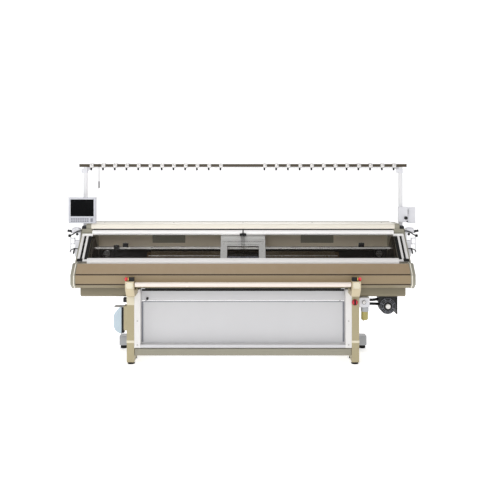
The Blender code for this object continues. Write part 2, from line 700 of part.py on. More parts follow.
# ---------------------------------------------------------------- covers
def build_front_cover():
    """Long folded front cover with two grooves, and its end caps."""
    lip_z = GAP_HEIGHT - 0.078
    bottom = BEAM_BOTTOM - 0.002
    groove = COVER_GROOVE
    outside = [
        (-0.286, lip_z - SHEET),
        (-0.286, lip_z),
        (-0.306, lip_z),
        (-COVER_FRONT + 0.004, lip_z - 0.084),
        (-COVER_FRONT + 0.002 + groove, lip_z - 0.086),
        (-COVER_FRONT + 0.002 + groove, lip_z - 0.094),
        (-COVER_FRONT, lip_z - 0.096),
        (-COVER_FRONT, lip_z - 0.176),
        (-COVER_FRONT + groove, lip_z - 0.178),
        (-COVER_FRONT + groove, lip_z - 0.186),
        (-COVER_FRONT + 0.002, lip_z - 0.188),
        (-COVER_FRONT + 0.055, bottom),
        (-0.250, bottom),
        (-0.250, bottom + SHEET),
    ]
    wall = groove + SHEET + 0.003
    inside = [
        (-COVER_FRONT + 0.055 + SHEET, bottom + SHEET),
        (-COVER_FRONT + wall, lip_z - 0.183),
        (-COVER_FRONT + wall, lip_z - 0.094),
        (-0.306 + SHEET * 0.5, lip_z - SHEET),
    ]
    mesh = bmesh.new()
    prism(mesh, outside + inside, -COVER_HALF, COVER_HALF)
    piece("front_cover", mesh, "tan_paint")

    cap = [
        (-0.262, lip_z + 0.004),
        (-0.308, lip_z + 0.004),
        (-COVER_FRONT - 0.004, lip_z - 0.092),
        (-COVER_FRONT - 0.004, lip_z - 0.186),
        (-COVER_FRONT + 0.051, bottom - 0.004),
        (-0.236, bottom - 0.004),
    ]
    inner = COVER_HALF + FIT
    for name, side in SIDES:
        mesh = bmesh.new()
        prism(mesh, cap, side * inner, side * (inner + END_CAP_WIDTH))
        end_cap = piece(name + "_end_cap", mesh, "olive_paint")
        rounding = end_cap.modifiers.new("rounding", "BEVEL")
        rounding.width = 0.008
        rounding.segments = 2
        rounding.limit_method = "ANGLE"
        rounding.angle_limit = math.radians(50)


def build_end_housings():
    """Housings that close the bed at each end."""
    inner = INNER_HALF + FIT
    outer = INNER_HALF + HOUSING_WIDTH
    face = WINDOW_OFFSET - 0.014
    profile = [
        front(0.222, face),
        front(slope_at_level(TOP_COVER_BOTTOM - 0.045, face), face),
        (-0.002, TOP_COVER_BOTTOM - FIT),
        (0.250, TOP_COVER_BOTTOM - FIT),
        (BACK_PANEL_DEPTH + 0.030, TOP_COVER_BOTTOM - 0.100),
        (BACK_PANEL_DEPTH + 0.030, BEAM_BOTTOM + FIT),
        (-0.232, BEAM_BOTTOM + FIT),
        (-0.232, GAP_HEIGHT - 0.120),
    ]
    for name, side in SIDES:
        mesh = bmesh.new()
        prism(mesh, profile, side * inner, side * outer)
        piece(name + "_end_housing", mesh, "olive_paint")


def build_window():
    """Sliding tinted panels between the top bar and the bottom bar."""
    first = WINDOW_OFFSET
    second = first + PANEL_THICKNESS + PANEL_SPACING
    outside = second + PANEL_THICKNESS
    panels = (
        ("window_panel_left", first, -WINDOW_HALF + 0.004, PANEL_LAP),
        ("window_panel_right", second, -PANEL_LAP, WINDOW_HALF - 0.004),
    )
    for name, height, low, high in panels:
        top = height + PANEL_THICKNESS
        outline = [front(WINDOW_BOTTOM_SLOPE, height), front(WINDOW_BOTTOM_SLOPE, top),
                   front(WINDOW_TOP_SLOPE, top), front(WINDOW_TOP_SLOPE, height)]
        mesh = bmesh.new()
        prism(mesh, outline, low, high)
        centre = front((WINDOW_BOTTOM_SLOPE + WINDOW_TOP_SLOPE) / 2, height)
        piece(name, mesh, "tinted_window", ((low + high) / 2, *centre))

    low_seat = WINDOW_BOTTOM_SLOPE + FIT
    inner_edge = first - 0.004
    bar_top = front(low_seat, outside + 0.008)
    bar_face = bar_top[0] - 0.024
    bottom_bar = [
        front(low_seat, inner_edge),
        bar_top,
        (bar_face, bar_top[1] - 0.020),
        (bar_face, bar_top[1] - 0.050),
        (bar_face + 0.010, bar_top[1] - 0.050),
    ]
    high_seat = WINDOW_TOP_SLOPE - FIT
    top_low = front(high_seat, outside + 0.006)
    top_back = front(high_seat, inner_edge)
    top_bar = [
        top_low,
        (top_low[0], top_low[1] + 0.020),
        (top_low[0] + 0.018, TOP_COVER_BOTTOM - 0.012),
        (0.004, TOP_COVER_BOTTOM - 0.012),
        (0.004, top_back[1] + 0.010),
        top_back,
    ]
    reach = INNER_HALF + STRIP_EDGES[-1]
    mesh = bmesh.new()
    prism(mesh, bottom_bar, -WINDOW_HALF - 0.002, WINDOW_HALF + 0.002)
    frame = piece("window_frame", mesh, "white_paint")
    tool = bmesh.new()
    prism(tool, top_bar, -WINDOW_HALF - 0.002, WINDOW_HALF + 0.002)
    boolean(frame, tool, "UNION")
    seat = WINDOW_OFFSET - 0.014 + FIT
    strips = bmesh.new()
    for low, high in (STRIP_EDGES[0:2], STRIP_EDGES[2:4]):
        prism(strips, [front(low_seat + 0.018, seat), front(low_seat + 0.018, seat + 0.012),
                       front(high_seat + 0.004, seat + 0.012), front(high_seat + 0.004, seat)],
              INNER_HALF + low, INNER_HALF + high)
    mirrored(strips)
    boolean(frame, strips, "UNION")
    for slope in (low_seat + 0.0015, high_seat - 0.012):
        tie = bmesh.new()
        prism(tie, [front(slope, seat + 0.001), front(slope + 0.022, seat + 0.001),
                    front(slope + 0.022, seat + 0.016), front(slope, seat + 0.016)],
              WINDOW_HALF - 0.003, reach - 0.002)
        mirrored(tie)
        boolean(frame, tie, "UNION")


def build_top():
    """Top cover, cone table, rear cover, back panel and the pans below the ends."""
    back = TOP_COVER_DEPTH
    low = TOP_COVER_BOTTOM
    high = low + TOP_COVER_HEIGHT
    sheet = SHEET
    outline = [
        (0.0, low), (0.0, high - 0.014), (0.006, high - 0.004), (0.020, high),
        (back, high), (back, low), (back - sheet, low), (back - sheet, high - sheet),
        (0.021, high - sheet), (0.008, high - 0.008), (sheet, high - 0.016), (sheet, low),
    ]
    mesh = bmesh.new()
    prism(mesh, outline, -TOP_COVER_HALF, TOP_COVER_HALF)
    piece("top_cover", mesh, "cream_paint")

    table_top = low - 0.010
    mesh = bmesh.new()
    box(mesh, (-CONE_TABLE_HALF, CONE_TABLE_HALF), (back + 0.006, DEPTH / 2),
        (table_top - CONE_TABLE_THICKNESS, table_top))
    table = piece("cone_table", mesh, "grey_plastic")
    rounding = table.modifiers.new("rounding", "BEVEL")
    rounding.width = 0.006
    rounding.segments = 2

    flange = table_top - CONE_TABLE_THICKNESS - FIT
    outer = REAR_COVER_DEPTH
    edge = BACK_PANEL_DEPTH + 0.040
    fold = [(edge, flange), (outer - 0.060, flange), (outer, flange - 0.090),
            (outer, BEAM_BOTTOM + 0.040), (outer - 0.050, BEAM_BOTTOM + FIT), (edge, BEAM_BOTTOM + FIT)]
    inside = [(edge, BEAM_BOTTOM + sheet), (outer - 0.051, BEAM_BOTTOM + sheet),
              (outer - sheet, BEAM_BOTTOM + 0.041), (outer - sheet, flange - 0.091),
              (outer - 0.061, flange - sheet), (edge, flange - sheet)]
    mesh = bmesh.new()
    prism(mesh, fold + inside, -COVER_HALF, COVER_HALF)
    piece("rear_cover", mesh, "tan_paint")

    mesh = bmesh.new()
    panel_y = (BACK_PANEL_DEPTH, BACK_PANEL_DEPTH + sheet)
    panel_low = BELT_HEIGHT + PULLEY_RADIUS + 0.020
    box(mesh, (-INNER_HALF, INNER_HALF), panel_y, (panel_low, flange))
    panel = piece("inner_back_panel", mesh, "olive_paint")
    windows = bmesh.new()
    box(windows, (0.600, 0.940), (panel_y[0] - 0.01, panel_y[1] + 0.01),
        (panel_low + 0.055, TOP_COVER_BOTTOM - 0.060))
    mirrored(windows)
    boolean(panel, windows, "DIFFERENCE")

    pan_top = BEAM_BOTTOM - FIT
    pan_low = pan_top - PAN_HEIGHT
    for name, side in SIDES:
        mesh = bmesh.new()
        prism(mesh, [(-PAN_HALF_DEPTH, pan_top), (-PAN_HALF_DEPTH, pan_low + PAN_CHAMFER),
                     (-PAN_HALF_DEPTH + PAN_CHAMFER, pan_low), (PAN_HALF_DEPTH - PAN_CHAMFER, pan_low),
                     (PAN_HALF_DEPTH, pan_low + PAN_CHAMFER), (PAN_HALF_DEPTH, pan_top)],
              side * (LEG_SPACING + LEG_WIDTH / 2 + 0.008), side * (COVER_HALF - 0.004))
        piece(name + "_pan", mesh, "olive_paint")


# ---------------------------------------------------------------- start bar and switches
def build_start_bar():
    """The start bar on its short cranks, the brackets and the emergency stops."""
    centre_y = -DEPTH / 2 + START_BAR_RADIUS
    pivot = (centre_y + START_BAR_CRANK, START_BAR_HEIGHT)
    bracket_outer = LEG_SPACING + BAR_BRACKET_OFFSET
    bracket_inner = bracket_outer - BAR_BRACKET_WIDTH
    reach = bracket_inner - BAR_BRACKET_GAP
    mesh = bmesh.new()
    round_bar(mesh, (centre_y, START_BAR_HEIGHT), START_BAR_RADIUS, -reach, reach)
    bar = piece("start_bar", mesh, "white_paint", (0.0, *pivot), smooth=True)
    cranks = bmesh.new()
    prism(cranks, [(centre_y, START_BAR_HEIGHT - 0.012), (pivot[0] + 0.010, START_BAR_HEIGHT - 0.012),
                   (pivot[0] + 0.010, START_BAR_HEIGHT + 0.012), (centre_y, START_BAR_HEIGHT + 0.012)],
          reach - 0.012, reach - 0.002)
    mirrored(cranks)
    boolean(bar, cranks, "UNION")
    pins = bmesh.new()
    round_bar(pins, pivot, 0.007, reach - 0.006, bracket_inner - FIT, segments=16)
    mirrored(pins)
    boolean(bar, pins, "UNION")

    top = START_BAR_HEIGHT + START_BAR_RADIUS + 0.0075
    front_y = -DEPTH / 2 + 0.003
    leg_face = -LEG_FRONT - FIT
    arm_top = BEAM_BOTTOM - 0.014

    height = top + FIT + ESTOP_RADIUS
    axis_y = (front_y - COVER_FRONT - 0.010) / 2
    arm_bottom = START_BAR_HEIGHT - BAR_BRACKET_DROP
    nose_bottom = START_BAR_HEIGHT - START_BAR_RADIUS - 0.020
    arm = [(leg_face, arm_bottom), (leg_face, arm_top), (-COVER_FRONT - 0.010, arm_top),
           (-COVER_FRONT - 0.010, top), (front_y, top), (front_y, nose_bottom), (front_y + 0.070, arm_bottom)]
    for name, side in SIDES:
        mesh = bmesh.new()
        prism(mesh, arm, side * bracket_inner, side * bracket_outer)
        bracket = piece(name + "_bar_bracket", mesh, "beige_paint")
        add_box(bracket, (side * (bracket_inner + 0.002), side * (bracket_inner + 0.050)),
                (axis_y - 0.015, axis_y + 0.015), (top - 0.004, top + 0.035))
        base = bracket_inner + 0.050
        bore = bmesh.new()
        round_bar(bore, (axis_y, height), 0.0105, side * (base - ESTOP_TRAVEL - 0.006), side * (base + 0.010))
        boolean(bracket, bore, "DIFFERENCE")
        mesh = bmesh.new()
        head = [(-0.004, 0.009), (0.016, 0.009), (0.018, ESTOP_RADIUS - 0.002),
                (0.030, ESTOP_RADIUS - 0.001), (0.038, ESTOP_RADIUS - 0.006)]
        profile = [(side * (base + reach_out), radius) for reach_out, radius in head]
        turned(mesh, (axis_y, height), profile, "X", 24)
        piece("estop_head_" + name, mesh, "red_plastic", (side * base, axis_y, height), smooth=True)

    switch_y = -LEG_FRONT - FIT
    mesh = bmesh.new()
    switch_x = LEG_SPACING - 0.008
    turned(mesh, (switch_x, SWITCH_HEIGHT),
           [(switch_y, SWITCH_RADIUS), (switch_y - 0.010, SWITCH_RADIUS),
            (switch_y - 0.013, SWITCH_RADIUS - 0.004)],
           "Y", 28)
    switch = piece("main_switch", mesh, "red_plastic", (switch_x, switch_y, SWITCH_HEIGHT), smooth=True)
    grip = bmesh.new()
    grip_half = SWITCH_RADIUS - 0.007
    box(grip, (switch_x - 0.007, switch_x + 0.007), (switch_y - 0.030, switch_y - 0.011),
        (SWITCH_HEIGHT - grip_half, SWITCH_HEIGHT + grip_half))
    boolean(switch, grip, "UNION")


def build_chute():
    """Fabric chute between the legs: frame, back panel and a drop-down door."""
    outer = LEG_SPACING - LEG_WIDTH / 2 - FIT
    inner = outer - CHUTE_POST
    front_y = -LEG_FRONT + 0.002
    back_y = front_y + CHUTE_DEPTH
    mesh = bmesh.new()
    box(mesh, (inner, outer), (front_y, back_y), (CHUTE_BOTTOM, CHUTE_TOP))
    mirrored(mesh)
    frame = piece("chute_frame", mesh, "white_paint")
    panel = bmesh.new()
    lap = inner + 0.004
    prism(panel, [(front_y + 0.001, CHUTE_BOTTOM + 0.001), (front_y + 0.001, CHUTE_BOTTOM + 0.029),
                  (back_y - 0.006, CHUTE_BOTTOM + 0.029), (back_y - 0.006, DOOR_BOTTOM - 0.005),
                  (back_y - 0.001, DOOR_BOTTOM - 0.005), (back_y - 0.001, CHUTE_BOTTOM + 0.001)],
          -lap, lap)
    boolean(frame, panel, "UNION")
    reach = inner - FIT
    mesh = bmesh.new()
    box(mesh, (-reach, reach), (back_y - 0.006, back_y), (DOOR_BOTTOM, CHUTE_TOP - 0.010))
    door = piece("chute_door", mesh, "white_paint", (0.0, back_y - 0.003, DOOR_BOTTOM - 0.001))
    knob = bmesh.new()
    round_bar(knob, (-0.930, DOOR_BOTTOM + 0.020), 0.012, back_y - 0.026, back_y - 0.004, "Y", 20)
    boolean(door, knob, "UNION")


# ---------------------------------------------------------------- service units
def build_service_units():
    """Lint bottle on the left leg, air filter and blower on the right, and the air hose."""
    outer = LEG_SPACING + LEG_WIDTH / 2
    left_face = -(outer + DUCT_WIDTH + FIT)
    y = (-LEG_FRONT + 0.015, -LEG_FRONT + 0.090)
    spine = left_face - 0.022
    low = BOTTLE_TOP - BOTTLE_HEIGHT
    bottle = [(spine, low), (spine, BOTTLE_TOP), (spine - 0.020, BOTTLE_TOP),
              (spine - 0.062, BOTTLE_TOP - 0.049), (spine - 0.076, BOTTLE_TOP - 0.079),
              (spine - 0.076, low + 0.074), (spine - 0.062, low + 0.034), (spine - 0.030, low + 0.009)]
    mesh = bmesh.new()
    prism(mesh, bottle, y[0], y[1], "Y")
    bottle_object = piece("lint_bottle", mesh, "bottle_plastic")
    add_box(bottle_object, (spine - 0.002, left_face), (y[0] + 0.010, y[1] - 0.010),
            (low + 0.004, BOTTLE_TOP + 0.003))

    centre_x = outer + 0.060
    centre_y = -LEG_FRONT + 0.050
    bowl = [(-0.217, 0.026), (-0.205, 0.034), (-0.134, 0.034), (-0.134, 0.038), (-0.094, 0.038),
            (-0.094, 0.030), (-0.080, 0.030)]
    mesh = bmesh.new()
    turned(mesh, (centre_x, centre_y), [(FILTER_TOP + drop, radius) for drop, radius in bowl], "Z", 24)
    air_filter = piece("air_filter", mesh, "grey_plastic", smooth=True)
    add_box(air_filter, (outer + FIT, centre_x + 0.042), (centre_y - 0.036, centre_y + 0.036),
            (FILTER_TOP - 0.090, FILTER_TOP))

    pan_low = BEAM_BOTTOM - FIT - PAN_HEIGHT
    blower = (outer + BLOWER_OFFSET, pan_low - BLOWER_DROP)
    blower_y = (-0.170, -0.050)
    rim = BLOWER_RADIUS - 0.026
    mesh = bmesh.new()
    turned(mesh, blower, [(blower_y[0], rim), (blower_y[0] + 0.012, BLOWER_RADIUS),
                          (blower_y[1] - 0.012, BLOWER_RADIUS), (blower_y[1], rim)], "Y", 32)
    housing = piece("blower_housing", mesh, "black_plastic", smooth=True)
    add_box(housing, (blower[0] - BLOWER_RADIUS - 0.006, blower[0] + BLOWER_RADIUS + 0.004),
            (blower_y[0] + 0.016, blower_y[1] - 0.004), (blower[1] + 0.030, pan_low - FIT))
    hub_front = blower_y[0] - FIT
    mesh = bmesh.new()
    turned(mesh, blower, [(hub_front, 0.040), (hub_front - 0.006, 0.040), (hub_front - 0.010, 0.024),
                          (hub_front - 0.020, 0.022)], "Y", 28)
    piece("blower_fan", mesh, "white_paint", (blower[0], hub_front, blower[1]), smooth=True)

    start_x = centre_x + 0.042 + 2 * FIT
    inlet = blower[0] - BLOWER_RADIUS + 0.010
    hose_levels = ((FILTER_TOP - 0.062, blower[1] + 0.010), (FILTER_TOP - 0.025, blower[1] + 0.065))
    for level, entry in hose_levels:
        tube = bmesh.new()
        path = [(start_x, centre_y, level), (start_x + 0.035, centre_y, level),
                (start_x + 0.060, -0.135, level - 0.010), (inlet, -0.110, entry)]
        hose(tube, path, HOSE_RADIUS)
        boolean(housing, tube, "UNION")


def bezier(points, share):
    """Point of a Bezier curve through its control points."""
    points = [Vector(point) for point in points]
    while len(points) > 1:
        points = [first.lerp(second, share) for first, second in zip(points, points[1:])]
    return points[0]


def hose(mesh, controls, radius, rings=10, sides=10):
    """Round tube that follows a Bezier curve."""
    before = None
    loops = []
    for step in range(rings + 1):
        share = step / rings
        point = bezier(controls, share)
        heading = bezier(controls, min(share + 0.01, 1.0)) - bezier(controls, max(share - 0.01, 0.0))
        heading.normalize()
        across = Vector((0.0, 1.0, 0.0)) if before is None else before
        across = (across - heading * across.dot(heading)).normalized()
        before = across
        third = heading.cross(across)
        loops.append([mesh.verts.new(point + across * a + third * b)
                      for a, b in circle((0, 0), radius, sides)])
    faces = [mesh.faces.new(loops[0]), mesh.faces.new(loops[-1])]
    for first, second in zip(loops, loops[1:]):
        for index in range(sides):
            following = (index + 1) % sides
            faces.append(mesh.faces.new((first[index], first[following], second[following], second[index])))
    bmesh.ops.recalc_face_normals(mesh, faces=faces)


# ---------------------------------------------------------------- yarn stand
def build_yarn_stand():
    """Rail across two posts with its tension units and their sprung arms."""
    low = TOP_COVER_BOTTOM
    half = STAND_POST / 2
    rail_low = YARN_RAIL_HEIGHT - RAIL_SIZE
    y = (STAND_DEPTH - RAIL_SIZE / 2, STAND_DEPTH + RAIL_SIZE / 2)
    mesh = bmesh.new()
    box(mesh, (-RAIL_HALF, RAIL_HALF), y, (rail_low, YARN_RAIL_HEIGHT))
    stand = piece("yarn_stand", mesh, "grey_plastic")
    for side in (-1, 1):
        centre = side * STAND_POST_HALF
        post = bmesh.new()
        box(post, (centre - half, centre + half), (STAND_DEPTH - half, STAND_DEPTH + half),
            (low, rail_low + 0.004))
        boolean(stand, post, "UNION")
        clamp = bmesh.new()
        box(clamp, (centre - half - 0.020, centre + half + 0.002),
            (STAND_DEPTH - half - 0.004, STAND_DEPTH + half + 0.004), (rail_low - 0.060, rail_low - 0.018))
        boolean(stand, clamp, "UNION")

    units = bmesh.new()
    unit_back = y[0] + 0.004
    unit_front = unit_back - 0.026
    pivot_y = (unit_front + unit_back) / 2
    unit_low = rail_low - 0.006
    pivot_z = unit_low - 0.003
    reach = TENSION_FIRST + TENSION_PITCH * (TENSION_PER_SIDE - 1) + 0.025
    shaft = bmesh.new()
    round_bar(shaft, (pivot_y, pivot_z), 0.0025, -reach, reach, segments=8)
    arms = piece("top_tension_arms", shaft, "black_plastic", (0.0, pivot_y, pivot_z))
    fingers = bmesh.new()
    for side in (-1, 1):
        for index in range(TENSION_PER_SIDE):
            x = side * (TENSION_FIRST + TENSION_PITCH * index)
            box(units, (x - 0.0175, x + 0.0175), (unit_front, unit_back),
                (unit_low, YARN_RAIL_HEIGHT + 0.008))
            box(fingers, (x - 0.015, x + 0.005), (pivot_y - 0.005, pivot_y + 0.005),
                (pivot_z - 0.028, pivot_z + 0.001))
    boolean(stand, units, "UNION")
    boolean(arms, fingers, "UNION")
    return stand


def build_threading_hook():
    """Flat hook with a grip, hung over the yarn rail for threading."""
    gap = RUNNING
    strip = 0.002
    x = -TENSION_FIRST - TENSION_PITCH * (TENSION_PER_SIDE - 1.6)
    rail_front = STAND_DEPTH - RAIL_SIZE / 2 - gap
    rail_back = STAND_DEPTH + RAIL_SIZE / 2 + gap
    top = YARN_RAIL_HEIGHT + gap
    outline = [
        (rail_front - strip, top - 0.180), (rail_front, top - 0.180), (rail_front, top),
        (rail_back, top), (rail_back, top - 0.025), (rail_back + strip, top - 0.025),
        (rail_back + strip, top + strip), (rail_front - strip, top + strip),
    ]
    mesh = bmesh.new()
    prism(mesh, outline, x - 0.002, x + 0.002)
    hook = piece("threading_hook", mesh, "steel")
    grip = bmesh.new()
    round_bar(grip, (x, rail_front - strip / 2), 0.006, top - 0.245, top - 0.175, "Z", 12)
    boolean(hook, grip, "UNION")


def build_side_tension():
    """Side yarn-tension units on the outside of the end housings."""
    face = INNER_HALF + HOUSING_WIDTH + FIT
    upper = TOP_COVER_BOTTOM - 0.040
    pivot_z = GAP_HEIGHT + 0.025
    rounded = [(0.050, 0.100), (-0.030, 0.118), (-0.050, 0.110), (-0.056, 0.0), (-0.048, -0.040),
               (-0.020, -0.057), (0.014, -0.050), (0.040, -0.020)]
    lever = [(-0.035, 0.010), (0.006, 0.016), (0.012, 0.0), (0.0, -0.012), (-0.030, -0.004),
             (-0.058, -0.040), (-0.070, -0.036)]
    for name, side in SIDES:
        mesh = bmesh.new()
        prism(mesh, [(a, GAP_HEIGHT + b) for a, b in rounded], side * face, side * (face + 0.046))
        unit = piece(name + "_tension_unit", mesh, "grey_plastic")
        add_box(unit, (side * face, side * (face + 0.085)), (-0.020, 0.040), (upper, upper + 0.036))
        add_box(unit, (side * face, side * (face + 0.012)), (-0.018, 0.038),
                (GAP_HEIGHT + 0.040, upper + 0.004))
        knob = bmesh.new()
        turned(knob, (0.010, upper + 0.018),
               [(side * (face + 0.083), 0.007), (side * (face + 0.097), 0.007),
                (side * (face + 0.099), 0.012), (side * (face + 0.135), 0.010)], "X", 20)
        boolean(unit, knob, "UNION")
        begin = face + 0.046 + FIT
        mesh = bmesh.new()
        prism(mesh, [(-0.020 + a, pivot_z + b) for a, b in lever], side * begin, side * (begin + 0.014))
        piece("tension_lever_" + name, mesh, "black_plastic", (side * begin, -0.020, pivot_z))


def build_monitor(stand):
    """Operator's screen, and the arm on the left post that it swivels on."""
    post_front = STAND_DEPTH - STAND_POST / 2 - FIT
    left = -STAND_POST_HALF - MONITOR_WIDTH / 2 - 0.002
    middle = MONITOR_BOTTOM + MONITOR_HEIGHT / 2
    pivot_y = post_front - 0.050
    arm = bmesh.new()
    box(arm, (-STAND_POST_HALF - 0.016, -STAND_POST_HALF + 0.016), (pivot_y + 0.018, post_front + 0.004),
        (middle - 0.035, middle + 0.035))
    boolean(stand, arm, "UNION")

    mesh = bmesh.new()
    screen_back = pivot_y - 0.030
    screen_front = screen_back - MONITOR_THICKNESS
    box(mesh, (left, left + MONITOR_WIDTH), (screen_front, screen_back),
        (MONITOR_BOTTOM, MONITOR_BOTTOM + MONITOR_HEIGHT))
    monitor = piece("monitor", mesh, "grey_plastic", (-STAND_POST_HALF, pivot_y, middle))
    neck = bmesh.new()
    neck_y = screen_back - 0.004
    prism(neck, [(-STAND_POST_HALF - 0.016, neck_y), (-STAND_POST_HALF + 0.016, neck_y),
                 *circle((-STAND_POST_HALF, pivot_y), 0.0175, 16, 0.0)[0:9]],
          middle - 0.030, middle + 0.030, "Z")
    boolean(monitor, neck, "UNION")


def build():
    """Clear the scene and make every piece."""
    for item in list(bpy.data.objects):
        bpy.data.objects.remove(item, do_unlink=True)
    build_legs()
    build_lower_beams()
    build_beds()
    build_rails()
    build_carriage()
    build_yarn_carriers()
    build_belt_drive()
    build_drive_motor()
    build_racking_screw()
    build_takedown()
    build_front_cover()
    build_end_housings()
    build_window()
    build_top()
    build_start_bar()
    build_chute()
    build_service_units()
    stand = build_yarn_stand()
    build_threading_hook()
    build_side_tension()
    build_monitor(stand)


build()
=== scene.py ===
# %% [markdown]
# # A flat-bed knitting machine, finished for the camera
# The engineering model already says where each part is and how it moves. This lesson adds what a
# manufacturer's finishing shop adds: rounded edges, paint, castings, needles, screws and screens. Many
# pieces take their place from the engineering model's own boxes, so they follow it if that model changes.

# %% Load the frame
import json
import math

import bmesh
import bpy
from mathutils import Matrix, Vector


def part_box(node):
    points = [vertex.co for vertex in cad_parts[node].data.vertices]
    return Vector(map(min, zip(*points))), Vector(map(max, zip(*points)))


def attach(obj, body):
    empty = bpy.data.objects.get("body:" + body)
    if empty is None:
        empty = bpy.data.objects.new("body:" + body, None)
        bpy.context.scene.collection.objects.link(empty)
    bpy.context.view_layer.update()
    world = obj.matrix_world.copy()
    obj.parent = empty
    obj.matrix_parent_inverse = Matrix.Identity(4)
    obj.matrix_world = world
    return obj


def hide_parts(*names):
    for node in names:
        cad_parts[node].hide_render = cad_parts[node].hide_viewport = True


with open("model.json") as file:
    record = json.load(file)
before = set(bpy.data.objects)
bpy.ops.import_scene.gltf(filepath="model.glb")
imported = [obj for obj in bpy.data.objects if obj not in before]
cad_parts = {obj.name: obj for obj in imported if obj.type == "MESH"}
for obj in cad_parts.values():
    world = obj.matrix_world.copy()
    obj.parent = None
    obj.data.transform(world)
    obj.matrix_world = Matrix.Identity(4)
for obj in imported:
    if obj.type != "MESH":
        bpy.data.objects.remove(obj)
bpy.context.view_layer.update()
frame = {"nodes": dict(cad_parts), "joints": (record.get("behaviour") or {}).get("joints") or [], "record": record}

# %% [markdown]
# ## Colours
# A painter picks colours from a chart with values from 0 to 255, while a shader works in linear light.
# One small function translates, so that every colour in the lesson can be read as a chart value.

# %% Chart colours
def chart(red, green, blue):
    """A paint-chart colour in linear light, with full alpha."""
    linear = []
    for value in (red, green, blue):
        share = value / 255.0
        linear.append(share / 12.92 if share <= 0.04045 else ((share + 0.055) / 1.055) ** 2.4)
    return (*linear, 1.0)


print("middle grey in linear light:", round(chart(128, 128, 128)[0], 3))

# %% [markdown]
# ## Building shader groups
# Paint, brushed metal and moulded plastic each appear on many parts, so each is a node group that is
# built once. A group only puts out a colour, a roughness and a height, because the shader itself stays in
# each material, where its gloss and its metal value can be seen at a glance.

# %% Node helpers
def add(tree, kind, sockets=None, **settings):
    """Add a node, apply its settings, and fill its sockets with values or with other nodes' outputs."""
    made = tree.nodes.new(kind)
    for key, value in settings.items():
        setattr(made, key, value)
    for key, value in (sockets or {}).items():
        if isinstance(value, bpy.types.NodeSocket):
            tree.links.new(value, made.inputs[key])
        else:
            made.inputs[key].default_value = value
    return made


def remap(tree, value, low, high, to_low, to_high):
    """The value moved from one range to another, clamped."""
    sockets = {"Value": value, "From Min": low, "From Max": high, "To Min": to_low, "To Max": to_high}
    return add(tree, "ShaderNodeMapRange", sockets).outputs["Result"]


def blended(tree, factor, first, second):
    """Two colours mixed by a factor."""
    mix = add(tree, "ShaderNodeMix", data_type="RGBA")
    for socket, value in ((mix.inputs[0], factor), (mix.inputs[6], first), (mix.inputs[7], second)):
        if isinstance(value, bpy.types.NodeSocket):
            tree.links.new(value, socket)
        else:
            socket.default_value = value
    return mix.outputs[2]


def figure(tree, operation, *values):
    """A sum, product or other figure worked out from values or from other nodes' outputs."""
    return add(tree, "ShaderNodeMath", dict(enumerate(values)), operation=operation).outputs[0]


def toned(tree, colour, value):
    """A colour made lighter or darker by a factor."""
    return add(tree, "ShaderNodeHueSaturation", {"Color": colour, "Value": value}).outputs["Color"]


def cloud(tree, scale, detail=3.0, stretch=None):
    """Noise fixed to the object, which may be stretched along an axis."""
    place = add(tree, "ShaderNodeTexCoord").outputs["Object"]
    if stretch is not None:
        place = add(tree, "ShaderNodeVectorMath", {0: place, 1: stretch}, operation="MULTIPLY").outputs[0]
    return add(tree, "ShaderNodeTexNoise", {"Vector": place, "Scale": scale, "Detail": detail}).outputs["Fac"]


def clouded(group, given, tone):
    """How far a noise is from its middle, and the group's colour with clouds made from that."""
    offset = figure(group, "SUBTRACT", tone, 0.5)
    swing = figure(group, "MULTIPLY", given["Clouds"], 2.0)
    return offset, toned(group, given["Colour"], figure(group, "MULTIPLY_ADD", offset, swing, 1.0))


def new_group(name, inputs):
    """An empty group with the given inputs, and a colour, a roughness and a height as outputs."""
    group = bpy.data.node_groups.new(name, "ShaderNodeTree")
    kinds = {float: "NodeSocketFloat", tuple: "NodeSocketColor"}
    for label, value in inputs.items():
        socket = group.interface.new_socket(label, in_out="INPUT", socket_type=kinds[type(value)])
        socket.default_value = value
    for label, kind in (("Colour", tuple), ("Roughness", float), ("Height", float)):
        group.interface.new_socket(label, in_out="OUTPUT", socket_type=kinds[kind])
    given = group.nodes.new("NodeGroupInput").outputs
    result = group.nodes.new("NodeGroupOutput")
    return group, given, result


print("node groups so far:", len(bpy.data.node_groups))

# %% [markdown]
# ## Powder-coated sheet
# Powder coat is never one flat colour. It has soft clouds of tone, a fine orange-peel skin, dust that
# settles on faces that look up, and bare-looking edges where hands and cloths rub. The edges are found
# by comparing the true normal with a rounded one from a Bevel node: they differ only close to an edge.

# %% Paint group
DUST = chart(205, 200, 190)
BARE_EDGE = chart(225, 220, 212)
EDGE_REACH = 0.005


